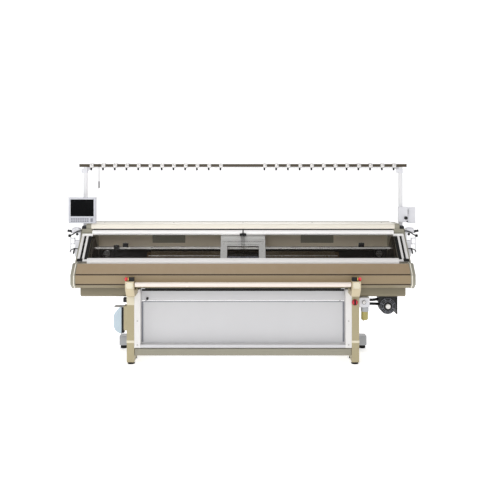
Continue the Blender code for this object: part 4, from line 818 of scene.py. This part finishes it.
# %% [markdown]
# ## Ventilation and access panels
# Motors behind the covers need air. Louvres are pressed out of the sheet, so each is a little roof with
# its opening below. Rows of them, and the panels that a fitter takes off, break up the long plain back.

# %% Louvres
rear_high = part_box("rear_cover")[1]
mesh = bmesh.new()
LOUVRE_FOOT = 0.90
LOUVRE_PITCH = 0.026
for bank in (-1.15, -0.75, 0.75, 1.15):
    for row in range(7):
        z = LOUVRE_FOOT + LOUVRE_PITCH * row
        roof = [(rear_high.y - 0.001, z), (rear_high.y + 0.007, z), (rear_high.y + 0.007, z + 0.0015),
                (rear_high.y - 0.001, z + 0.012)]
        section(mesh, roof, bank - 0.075, bank + 0.075, "X", 0)
        block(mesh, (bank - 0.070, rear_high.y - 0.001, z - 0.006),
              (bank + 0.070, rear_high.y + 0.0008, z), 1)
make_piece("rear_louvres", mesh, (TAN, RUBBER_AND_SHADE), "machine_frame", 0.0005)
tell("louvres")

# %% Sound-deadening mat
block_piece("sound_mat", RUBBER_AND_SHADE,
            (-1.5600, rear_high.y - 0.014, 0.800),
            (1.5600, rear_high.y - 0.004, 1.130), "machine_frame", 0.001)
mesh = bmesh.new()
for side in (-1, 1):
    block(mesh, (side * 0.585, 0.3055, 1.070), (side * 0.955, 0.3085, 1.2415))
make_piece("inspection_plates", mesh, (OLIVE,), "machine_frame", 0.001)
tell("sound-deadening mat")

# %% Rear panels
mesh = bmesh.new()
places = []
for index in range(3):
    x = -1.0 + index
    low_corner = (x - 0.46, rear_high.y - 0.001, 0.835)
    high_corner = (x + 0.46, rear_high.y + 0.0015, 1.135)
    block(mesh, low_corner, high_corner)
    places += [(x + side * 0.44, rear_high.y + 0.0015, z) for side in (-1, 1) for z in (0.850, 1.120)]
make_piece("rear_access_panels", mesh, (TAN,), "machine_frame", 0.001)
screws("rear_panel_screws", places, "Y", 1, "machine_frame")
tell("rear panels")

# %% Housing side panels
for name, side in (("left", -1), ("right", 1)):
    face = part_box(name + "_end_housing")[1 if side > 0 else 0].x
    mesh = bmesh.new()
    block(mesh, (face - side * 0.001, -0.195, 0.790), (face + side * 0.0025, 0.300, 0.985))
    for row in range(6):
        z = 0.850 + 0.020 * row
        block(mesh, (face, 0.080, z), (face + side * 0.0030, 0.240, z + 0.007), 1)
    make_piece(name + "_side_panel", mesh, (OLIVE, RUBBER_AND_SHADE), "machine_frame", 0.0012)
    places = [(face + side * 0.0025, y, z) for y in (-0.180, 0.285) for z in (0.805, 0.970)]
    places += [(face, y, z) for y in (0.10, 0.26) for z in (1.05, 1.22)]
    screws(name + "_side_screws", places, "X", side, "machine_frame")
tell("housing side panels")

# %% Top cover ends and painted gap shadow
top_low, top_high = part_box("top_cover")
mesh = bmesh.new()
for side in (-1, 1):
    end = [(0.004, top_low.z + 0.0004), (0.004, top_high.z - 0.014), (0.010, top_high.z - 0.004),
           (0.024, top_high.z - 0.001), (top_high.y - 0.002, top_high.z - 0.001),
           (top_high.y - 0.002, top_low.z + 0.0004)]
    section(mesh, end, side * (top_high.x + 0.0008), side * 1.560, "X", 0)
    nose = [(0.000, top_low.z + 0.0004), (0.000, top_low.z + 0.020), (0.030, top_low.z + 0.028),
            (0.085, top_low.z + 0.028), (0.085, top_low.z + 0.0004)]
    section(mesh, nose, side * 1.5605, side * 1.604, "X", 1)
make_piece("top_cover_ends", mesh, (OLIVE, BLACK), "machine_frame", 0.003, 3)
# A black strip fills the gap between the window frame and the top cover as a painted shadow.
block_piece("top_cover_gap_shadow", RUBBER_AND_SHADE,
            (-1.489, 0.0045, frame_high.z + 0.0006),
            (1.489, 0.014, top_low.z - 0.0006), "machine_frame", 0.001)
block_piece("top_cover_hinge_strip", OLIVE,
            (-top_high.x, top_high.y - 0.012, top_high.z + 0.0002),
            (top_high.x, top_high.y - 0.002, top_high.z + 0.005), "machine_frame", 0.001)
joints = [(x, 0.120, top_high.z) for x in (-1.40, -0.70, 0.0, 0.70, 1.40)]
screws("top_cover_screws", joints, "Z", 1, "machine_frame")
tell("top cover")

# %% [markdown]
# ## The yarn stand
# The rail is a dark olive extrusion on two pale posts. The 24 tension units are white mouldings. On each,
# a sprung pair of steel discs pinches the yarn, a knob sets the spring, and a wire eye guides the yarn in.

# %% Rail and posts
RAIL = {"half": 1.650, "low": 1.900, "high": 1.930, "front": 0.105, "back": 0.135}
POST_X = 1.594
POST_HALF = 0.018
mesh = bmesh.new()
block(mesh, (-RAIL["half"], RAIL["front"], RAIL["low"]), (RAIL["half"], RAIL["back"], RAIL["high"]))
for side in (-1, 1):
    block(mesh, (side * RAIL["half"], RAIL["front"] - 0.001, RAIL["low"] - 0.001),
          (side * (RAIL["half"] + 0.004), RAIL["back"] + 0.001, RAIL["high"] + 0.001), 1)
make_piece("yarn_rail", mesh, (OLIVE_DARK, BLACK), "machine_frame", 0.002, 3, ("yarn_stand",))
mesh = bmesh.new()
for side in (-1, 1):
    x = side * POST_X
    block(mesh, (x - POST_HALF, 0.102, top_low.z + 0.0003), (x + POST_HALF, 0.138, RAIL["low"]))
    block(mesh, (x - POST_HALF - 0.020, 0.097, 1.840), (x + POST_HALF + 0.003, 0.143, 1.882), 1)
    block(mesh, (x - 0.030, 0.090, top_low.z + 0.0003), (x + 0.030, 0.150, top_low.z + 0.008), 1)
    gusset = [(x, 1.900), (x - side * 0.070, 1.900), (x, 1.830)]
    section(mesh, gusset, 0.116, 0.124, "Y", 1)
make_piece("stand_posts", mesh, (POST, LIGHT), "machine_frame", 0.002, 3)
places = [(side * POST_X + x, y, top_low.z + 0.008) for side in (-1, 1) for x in (-0.024, 0.024)
          for y in (0.095, 0.145)]
screws("post_foot_screws", places, "Z", 1, "machine_frame", 0.003)
tell("rail and posts")

# %% Tension units
UNIT_FIRST = 0.222
UNIT_PITCH = 0.1185
UNIT_X = [side * (UNIT_FIRST + UNIT_PITCH * index) for side in (-1, 1) for index in range(12)]
UNIT = {"front": 0.083, "back": 0.109, "low": 1.894, "high": 1.938}
UNIT_HALF = 0.0175
EYE_LEVEL = 1.9312
mesh = bmesh.new()
for x in UNIT_X:
    block(mesh, (x - UNIT_HALF, UNIT["front"], UNIT["low"]),
          (x + UNIT_HALF, UNIT["back"] - 0.0045, UNIT["high"]))
    block(mesh, (x - UNIT_HALF, UNIT["back"] - 0.006, RAIL["high"] + 0.0004),
          (x + UNIT_HALF, 0.134, UNIT["high"]))
    centre = (x + 0.003, UNIT["low"] + 0.026)
    for begin, wide in ((0.0, 0.0095), (0.0030, 0.0095)):
        face = UNIT["front"] - begin
        lathe(mesh, centre, [(face + 0.001, 0.004), (face - 0.0004, wide), (face - 0.0012, wide),
                             (face - 0.0024, 0.004)], "Y", 18, 1)
    lathe(mesh, centre, [(UNIT["front"] - 0.005, 0.0045), (UNIT["front"] - 0.013, 0.0050),
                         (UNIT["front"] - 0.015, 0.0035)], "Y", 12, 0)
    hoop(mesh, (x - 0.010, UNIT["front"] - 0.002, EYE_LEVEL), 0.005, 0.0008, tag=1)
make_piece("tension_units", mesh, (WHITE, STEEL), "machine_frame", 0.0015)
tell("tension units")

# %% Tension arms
arm_low, arm_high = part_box("top_tension_arms")
pivot = next(joint["pos_m"] for joint in frame["joints"] if joint["child"] == "tension_arms")
mesh = bmesh.new()
wire(mesh, [Vector((x, pivot[1], pivot[2])) for x in (arm_low.x, arm_high.x)], 0.0025, 10, 1)
for x in UNIT_X:
    lever = [(pivot[1] - 0.004, pivot[2] + 0.002), (pivot[1] + 0.004, pivot[2] + 0.002),
             (pivot[1] + 0.003, arm_low.z + 0.004), (pivot[1] - 0.003, arm_low.z + 0.004)]
    section(mesh, lever, x - 0.015, x + 0.003, "X", 0)
    hoop(mesh, (x - 0.006, pivot[1], arm_low.z), 0.0045, 0.0009, tag=1)
make_piece("top_tension_levers", mesh, (BLACK, STEEL), "tension_arms", 0.001, 2, ("top_tension_arms",))
soften("threading_hook", BLUED, 0, 2, ((lambda c: c.z < 1.80, BLACK),))
tell("tension arms")

# %% [markdown]
# ## The screen
# The operator's screen is a silver-grey moulding with a deep black glass. Below the glass is a strip of
# grey keys in two rows, plain and unmarked, with one larger key at the end.

# %% Screen and keys
low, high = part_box("monitor")
case_back = low.y + 0.045
mesh = bmesh.new()
block(mesh, (low.x, low.y + 0.006, low.z), (high.x, case_back, high.z))
frame_bars = ((low.x, low.x + 0.0205, low.z, high.z), (high.x - 0.0205, high.x, low.z, high.z),
              (low.x + 0.0205, high.x - 0.0205, high.z - 0.020, high.z),
              (low.x + 0.0205, high.x - 0.0205, low.z, high.z - 0.187))
for x0, x1, z0, z1 in frame_bars:
    block(mesh, (x0, low.y + 0.001, z0), (x1, low.y + 0.0065, z1))
swivel = [(-POST_X - 0.016, case_back - 0.002), (-POST_X + 0.016, case_back - 0.002),
          *ring_points((-POST_X, low.y + 0.075), 0.0175, 16)[0:9]]
level = (low.z + high.z) / 2
section(mesh, swivel, level - 0.030, level + 0.030, "Z", 1)
make_piece("screen_case", mesh, (BEZEL, BLACK), "monitor", 0.003, 3, ("monitor",))
block_piece("screen_glass", BLACK_GLOSS,
            (low.x + 0.0195, low.y + 0.003, high.z - 0.188),
            (high.x - 0.0195, low.y + 0.0063, high.z - 0.019), "monitor", 0.0005)
KEY_PITCH = (0.0225, 0.022)
mesh = bmesh.new()
for row in range(2):
    for index in range(8):
        x = low.x + 0.026 + KEY_PITCH[0] * index
        z = low.z + 0.014 + KEY_PITCH[1] * row
        block(mesh, (x, low.y - 0.0015, z), (x + 0.016, low.y + 0.002, z + 0.014))
block(mesh, (high.x - 0.052, low.y - 0.0015, low.z + 0.014), (high.x - 0.028, low.y + 0.002, low.z + 0.050))
make_piece("screen_keys", mesh, (KEY,), "monitor", 0.0015, 3)
mesh = bmesh.new()
for index in range(12):
    x = low.x + 0.040 + 0.0155 * index
    block(mesh, (x, case_back - 0.001, high.z - 0.070), (x + 0.008, case_back + 0.0012, high.z - 0.030))
make_piece("screen_vents", mesh, (BLACK,), "monitor", 0.0006)
tell("screen and keys")

# %% Screen arm
mesh = bmesh.new()
block(mesh, (-POST_X - 0.016, low.y + 0.094, level - 0.035), (-POST_X + 0.016, 0.1018, level + 0.035))
block(mesh, (-POST_X - 0.024, 0.0965, level - 0.045), (-POST_X + 0.024, 0.1015, level + 0.045), 1)
make_piece("screen_arm", mesh, (LIGHT, LIGHT), "machine_frame", 0.003, 3)
tell("screen arm")

# %% [markdown]
# ## Side tension units
# Outside each end housing sits a unit that takes up slack yarn: a pale rounded housing, black knobs, a
# curved black lever and a thin upright tube. These small dark shapes against pale ones give the machine's
# ends their busy look.

# %% Side units
for name, side in (("left", -1), ("right", 1)):
    soften(name + "_tension_unit", LIGHT, 0.004, 3, ((lambda c: abs(c.x) > 1.6957, BLACK),))
    soften("tension_lever_" + name, BLACK, 0.002, 3)
    low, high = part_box(name + "_tension_unit")
    face = side * 1.658
    mesh = bmesh.new()
    tube = [(side * 1.700, -0.045, 1.052), (side * 1.703, -0.045, 1.075), (side * 1.703, -0.045, 1.190),
            (side * 1.700, -0.045, 1.212)]
    wire(mesh, smooth_route(tube, 4), 0.0055, 10, 1)
    for z in (1.136, 1.192):
        block(mesh, (face - side * 0.002, -0.052, z), (side * 1.706, -0.038, z + 0.010))
    block(mesh, (side * 1.660, -0.052, 1.136), (side * 1.668, -0.030, 1.202))
    make_piece(name + "_yarn_tube", mesh, (LIGHT, POST), "machine_frame", 0.001)
    mesh = bmesh.new()
    arc = [(side * 1.612, -0.048, 1.0945)]
    arc += [(side * (1.640 + 0.058 * math.sin(turn)), -0.104, 1.060 + 0.042 * math.cos(turn))
            for turn in (-0.45 + 0.22 * index for index in range(9))]
    wire(mesh, [Vector(point) for point in arc], 0.0048, 10, 0)
    reach = [(side * 1.600, -0.030, 1.268), (side * 1.640, -0.052, 1.262), (side * 1.680, -0.055, 1.236),
             (side * 1.712, -0.050, 1.222)]
    wire(mesh, smooth_route(reach, 5), 0.006, 10, 0)
    lathe(mesh, (-0.050, 1.222), [(side * 1.700, 0.008), (side * 1.704, 0.014), (side * 1.722, 0.014),
                                  (side * 1.725, 0.009)], "X", 20, 0)
    pin = [(side * 1.706, 0.012, 1.250), (side * 1.738, -0.010, 1.275)]
    wire(mesh, [Vector(point) for point in pin], 0.0075, 12, 0)
    lathe(mesh, (side * 1.635, 1.238), [(-0.044, 0.010), (-0.058, 0.014), (-0.062, 0.010)], "Y", 20, 0)
    make_piece(name + "_brake_levers", mesh, (BLACK,), "machine_frame", 0)
    block_piece(name + "_brake_dome", LIGHT,
                (side * 1.618, -0.040, 1.246), (side * 1.694, 0.036, 1.300), "machine_frame", 0.018, 5)
tell("side units")

# %% Post control box
mesh = bmesh.new()
block(mesh, (1.562, 0.062, 1.345), (1.655, 0.1012, 1.500))
block(mesh, (1.663, 0.082, 1.335), (1.736, 0.0985, 1.495))
block(mesh, (1.640, 0.0985, 1.350), (1.720, 0.1012, 1.480))
make_piece("post_control_box", mesh, (LIGHT,), "machine_frame", 0.004, 3)
mesh = bmesh.new()
lathe(mesh, (1.634, 1.388), [(0.0630, 0.010), (0.058, 0.017), (0.044, 0.016), (0.041, 0.011)], "Y", 24, 0)
lathe(mesh, (1.648, 1.352), [(0.0630, 0.006), (0.056, 0.008), (0.054, 0.006)], "Y", 16, 0)
block(mesh, (1.6555, 0.070, 1.425), (1.6625, 0.090, 1.470))
make_piece("post_control_knobs", mesh, (BLACK,), "machine_frame", 0.001)
tell("post control box")

# %% [markdown]
# ## Start bar and emergency stops
# The operator starts and stops the carriage by turning the long white bar. It runs between two beige
# castings, each with a red mushroom head on its outer end that stops the machine when it is struck.

# %% Start bar
soften("start_bar", BAR, 0.001)
for name, side in (("left", -1), ("right", 1)):
    low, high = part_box(name + "_bar_bracket")
    top = high.z - 0.035
    soften(name + "_bar_bracket", BEIGE, 0.005, 3, ((lambda c, top=top: c.z > top + 0.0003, BLACK),))
    soften("estop_head_" + name, RED, 0.001, 3)
    head_low, head_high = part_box("estop_head_" + name)
    centre = ((head_low.y + head_high.y) / 2, (head_low.z + head_high.z) / 2)
    base = side * 1.062
    mesh = bmesh.new()
    lathe(mesh, centre, [(base, 0.0125), (base, 0.0165), (base + side * 0.006, 0.0165),
                         (base + side * 0.006, 0.0125)], "X", 28)
    make_piece(name + "_stop_collar", mesh, (YELLOW,), "machine_frame", 0.0008)
    middle = (low.x + high.x) / 2
    block_piece(name + "_bracket_plate", KHAKI_LIGHT,
                (middle - 0.032, low.y - 0.0003, 0.7760),
                (middle + 0.032, low.y + 0.002, 0.8320), "machine_frame", 0.0008)
    places = [(middle + x, low.y - 0.0003, z) for x in (-0.026, 0.026) for z in (0.783, 0.825)]
    screws(name + "_bracket_screws", places, "Y", -1, "machine_frame", 0.003)
tell("start bar")

# %% Main switch
soften("main_switch", RED_DARK, 0.001, 3, ((lambda c: c.y < -0.2432 and abs(c.z - 0.602) < 0.03, BLACK),))
low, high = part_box("main_switch")
centre = ((low.x + high.x) / 2, (low.z + high.z) / 2)
mesh = bmesh.new()
lathe(mesh, centre, [(low.y + 0.0162, 0.020), (low.y + 0.0160, 0.0235), (low.y + 0.0172, 0.0240),
                     (low.y + 0.0172, 0.020)], "Y", 32)
make_piece("main_switch_ring", mesh, (RED,), "main_switch", 0.0004)
tell("main switch")

# %% [markdown]
# ## Fabric chute
# Finished fabric slides down between two white posts, behind a pale panel. A drop-down door at the top,
# with one black knob, lets the operator reach the take-down rollers.

# %% Chute
chute_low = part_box("chute_frame")[0]
POST_INNER = 0.984
soften("chute_frame", WHITE, 0.002, 3, ((lambda c: abs(c.x) < POST_INNER, PANEL),))
soften("chute_door", PANEL, 0.001, 3, ((lambda c: c.y < -0.1445, BLACK),))
places = [(side * 1.016, chute_low.y, z) for side in (-1, 1) for z in (0.692, 0.420, 0.190)]
screws("chute_screws", places, "Y", -1, "machine_frame", 0.006)
mesh = bmesh.new()
for side in (-1, 1):
    block(mesh, (side * 0.9862, -0.1465, 0.200), (side * 0.9700, -0.1444, 0.592))
block(mesh, (-0.9700, -0.1465, 0.5860), (0.9700, -0.1444, 0.5930))
make_piece("chute_panel_hems", mesh, (KEY,), "machine_frame", 0.0006)
# A black strip in the gap above the chute, painted as the shadow there.
block_piece("chute_top_gap_shadow", RUBBER_AND_SHADE,
            (-0.9750, -0.1950, 0.7265), (0.9750, -0.1650, 0.7570), "machine_frame", 0.002)
door_low, door_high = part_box("chute_door")
# A black strip along the door's top edge, painted as the shadow under the beam above it.
block_piece("chute_door_top_shadow", RUBBER_AND_SHADE,
            (door_low.x + 0.002, -0.1462, door_high.z - 0.020),
            (door_high.x - 0.002, -0.1442, door_high.z - 0.001), "chute_door", 0.0006)
mesh = bmesh.new()
lathe(mesh, (-1.139, 0.622), [(-0.2300, 0.009), (-0.190, 0.009)], "Y", 12)
block(mesh, (-1.152, -0.232, 0.600), (-1.118, -0.190, 0.646))
make_piece("cable_clip", mesh, (BLACK,), "machine_frame", 0.006, 3)
tell("chute")

# %% [markdown]
# ## Lint bottle, air filter and blower
# The services hang on the outsides of the legs. The lint bottle is blow-moulded in a milky plastic with
# rounded shoulders. The air filter has an amber bowl, and the blower is a black scroll with a pale hub.

# %% Lint bottle
low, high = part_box("lint_bottle")
SPINE = -1.1705
soften("lint_bottle", BOTTLE, 0.011, 5, ((lambda c: c.x > SPINE, BLACK),))
block_piece("bottle_lid", GREY,
            (low.x + 0.004, low.y - 0.004, high.z - 0.0005),
            (high.x, high.y + 0.004, high.z + 0.004), "machine_frame", 0.002, 3)
mesh = bmesh.new()
for z in (0.350, 0.420, 0.490):
    block(mesh, (low.x + 0.024, low.y - 0.0012, z), (SPINE - 0.006, high.y + 0.0012, z + 0.010))
make_piece("bottle_ribs", mesh, (BOTTLE,), "machine_frame", 0.003, 3)
tell("lint bottle")

# %% Air filter
low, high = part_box("air_filter")
BOWL_TOP, RING_TOP = 0.5059, 0.5465
soften("air_filter", LIGHT, 0.002, 3, (
    (lambda c: c.z < BOWL_TOP, BOWL), (lambda c: c.z < RING_TOP, GREY)))
dial = ((low.x + high.x) / 2 - 0.004, 0.598)
mesh = bmesh.new()
lathe(mesh, dial, [(low.y + 0.001, 0.018), (low.y - 0.009, 0.018), (low.y - 0.010, 0.0165),
                   (low.y - 0.008, 0.0155)], "Y", 28, 0)
lathe(mesh, dial, [(low.y - 0.0075, 0.0154), (low.y - 0.0084, 0.0154)], "Y", 28, 1)
block(mesh, (dial[0] - 0.0008, low.y - 0.0092, dial[1] - 0.002),
      (dial[0] + 0.0008, low.y - 0.0084, dial[1] + 0.012))
block(mesh, (low.x + 0.006, high.y - 0.058, high.z - 0.0005),
      (high.x - 0.006, high.y - 0.016, high.z + 0.004), 1)
make_piece("air_gauge", mesh, (BLACK, WHITE), "machine_frame", 0.0006)
mesh = bmesh.new()
lathe(mesh, (dial[0], (low.y + high.y) / 2), [(0.412, 0.006), (0.424, 0.008), (0.426, 0.020), (0.430, 0.022)],
      "Z", 20)
make_piece("filter_drain", mesh, (STEEL,), "machine_frame", 0.0005)
tell("air filter")

# %% Blower
soften("blower_housing", BLACK, 0.004, 3)
soften("blower_fan", BLACK, 0.001, 3, ((lambda c: c.y < -0.1785, WHITE),))
low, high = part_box("blower_fan")
hub = Vector(((low.x + high.x) / 2, high.y, (low.z + high.z) / 2))
GUARD_RADIUS = 0.046
GUARD_DISH = 0.40


def guard_depth(radius):
    """Where the dished guard lies along Y at a radius."""
    return hub.y - 0.004 + (radius - GUARD_RADIUS) * GUARD_DISH


mesh = bmesh.new()
for radius in (GUARD_RADIUS, 0.060, 0.074):
    hoop(mesh, (hub.x, guard_depth(radius), hub.z), radius, 0.0016, 18)
for index in range(8):
    turn = math.pi * (index + 0.5) / 4
    spoke = [Vector((hub.x + radius * math.cos(turn), guard_depth(radius), hub.z + radius * math.sin(turn)))
             for radius in (0.043, 0.080)]
    wire(mesh, spoke, 0.0022, 6)
make_piece("blower_guard", mesh, (KEY,), "machine_frame", 0)
mesh = bmesh.new()
block(mesh, (hub.x + 0.086, -0.165, hub.z - 0.080), (hub.x + 0.094, -0.045, hub.z + 0.100))
block(mesh, (hub.x + 0.060, -0.150, hub.z + 0.060), (hub.x + 0.090, -0.070, hub.z + 0.1035))
make_piece("blower_bracket", mesh, (BLACK,), "machine_frame", 0.002)
tell("blower")

# %% [markdown]
# ## Camera
# The machine is long and is seen square on, with its uprights parallel. An architect would keep the camera
# level and shift the lens instead of tilting it, and the same trick is used here. The camera stands at eye
# height, 6.5 metres in front of the legs.

# %% Camera
EYE_HEIGHT = 1.93
EYE_DISTANCE = 6.73
LENS = 48.7
SHIFT = (0.014, -0.172)
camera_data = bpy.data.cameras.new("camera")
camera_data.lens = LENS
camera_data.sensor_width = 36.0
camera_data.shift_x, camera_data.shift_y = SHIFT
camera = bpy.data.objects.new("camera", camera_data)
camera.location = (0.0, -EYE_DISTANCE, EYE_HEIGHT)
camera.rotation_euler = (math.radians(90.0), 0.0, 0.0)
bpy.context.scene.collection.objects.link(camera)
bpy.context.scene.camera = camera
print("camera at", tuple(camera.location))

# %% [markdown]
# ## Studio
# The floor is a pale sheet that curves up behind the machine. One large soft box above the front gives
# upward faces their light edges, two weaker ones at the sides model the round parts, and the pale room
# fills the shadows.

# %% Floor and backdrop
FLOOR_FRONT, FLOOR_BACK, FLOOR_HALF = -14.0, 6.0, 20.0
SWEEP_RADIUS = 4.0
WALL_TOP = 16.0
mesh = bmesh.new()
profile = [(FLOOR_FRONT, 0.0), (FLOOR_BACK, 0.0)]
profile += [(FLOOR_BACK + SWEEP_RADIUS * math.sin(turn), SWEEP_RADIUS - SWEEP_RADIUS * math.cos(turn))
            for turn in (math.pi * index / 32 for index in range(1, 17))]
profile.append((FLOOR_BACK + SWEEP_RADIUS, WALL_TOP))
rows = [[mesh.verts.new((x, y, z)) for x in (-FLOOR_HALF, FLOOR_HALF)] for y, z in profile]
for first, second in zip(rows, rows[1:]):
    mesh.faces.new((first[0], first[1], second[1], second[0]))
sweep_data = bpy.data.meshes.new("studio_sweep")
mesh.to_mesh(sweep_data)
mesh.free()
sweep_data.shade_smooth()
paper = bpy.data.materials.new("backdrop_paper")
paper.use_nodes = True
paper_values = {"Base Color": chart(250, 250, 250), "Roughness": 0.9, "Specular IOR Level": 0.1,
                "Emission Color": chart(255, 255, 255), "Emission Strength": 0.52}
for label, value in paper_values.items():
    paper.node_tree.nodes["Principled BSDF"].inputs[label].default_value = value
sweep_data.materials.append(paper)
sweep = bpy.data.objects.new("studio_sweep", sweep_data)
bpy.context.scene.collection.objects.link(sweep)
print("backdrop:", len(sweep_data.polygons), "strips")

# %% Lights
ROOM_LIGHT = 0.34
world = bpy.data.worlds.new("pale_room")
world.use_nodes = True
world.node_tree.nodes["Background"].inputs["Color"].default_value = chart(252, 252, 255)
world.node_tree.nodes["Background"].inputs["Strength"].default_value = ROOM_LIGHT
bpy.context.scene.world = world


def soft_box(name, place, target, size, power):
    """A square area light at a place, aimed at a target."""
    data = bpy.data.lights.new(name, "AREA")
    data.shape = "SQUARE"
    data.size = size
    data.energy = power
    light = bpy.data.objects.new(name, data)
    light.location = place
    aim = Vector(target) - Vector(place)
    light.rotation_euler = aim.to_track_quat("-Z", "Y").to_euler()
    bpy.context.scene.collection.objects.link(light)


soft_box("key_front", (-0.8, -7.5, 3.2), (0.0, 0.0, 1.0), 3.0, 170.0)
soft_box("key_above", (-1.0, -3.0, 5.5), (0.0, 0.0, 0.9), 4.0, 70.0)
soft_box("fill_left", (-6.0, -3.0, 2.5), (0.0, 0.0, 0.9), 3.0, 35.0)
soft_box("fill_right", (6.0, -2.0, 2.5), (0.0, 0.0, 0.9), 3.0, 25.0)
soft_box("back_above", (0.0, 5.0, 5.0), (0.0, 0.0, 1.0), 4.0, 90.0)
bpy.context.scene.view_settings.view_transform = "Standard"
print("camera and lights are in place")

# %% Count the pieces
print(len(made_pieces), "pieces")
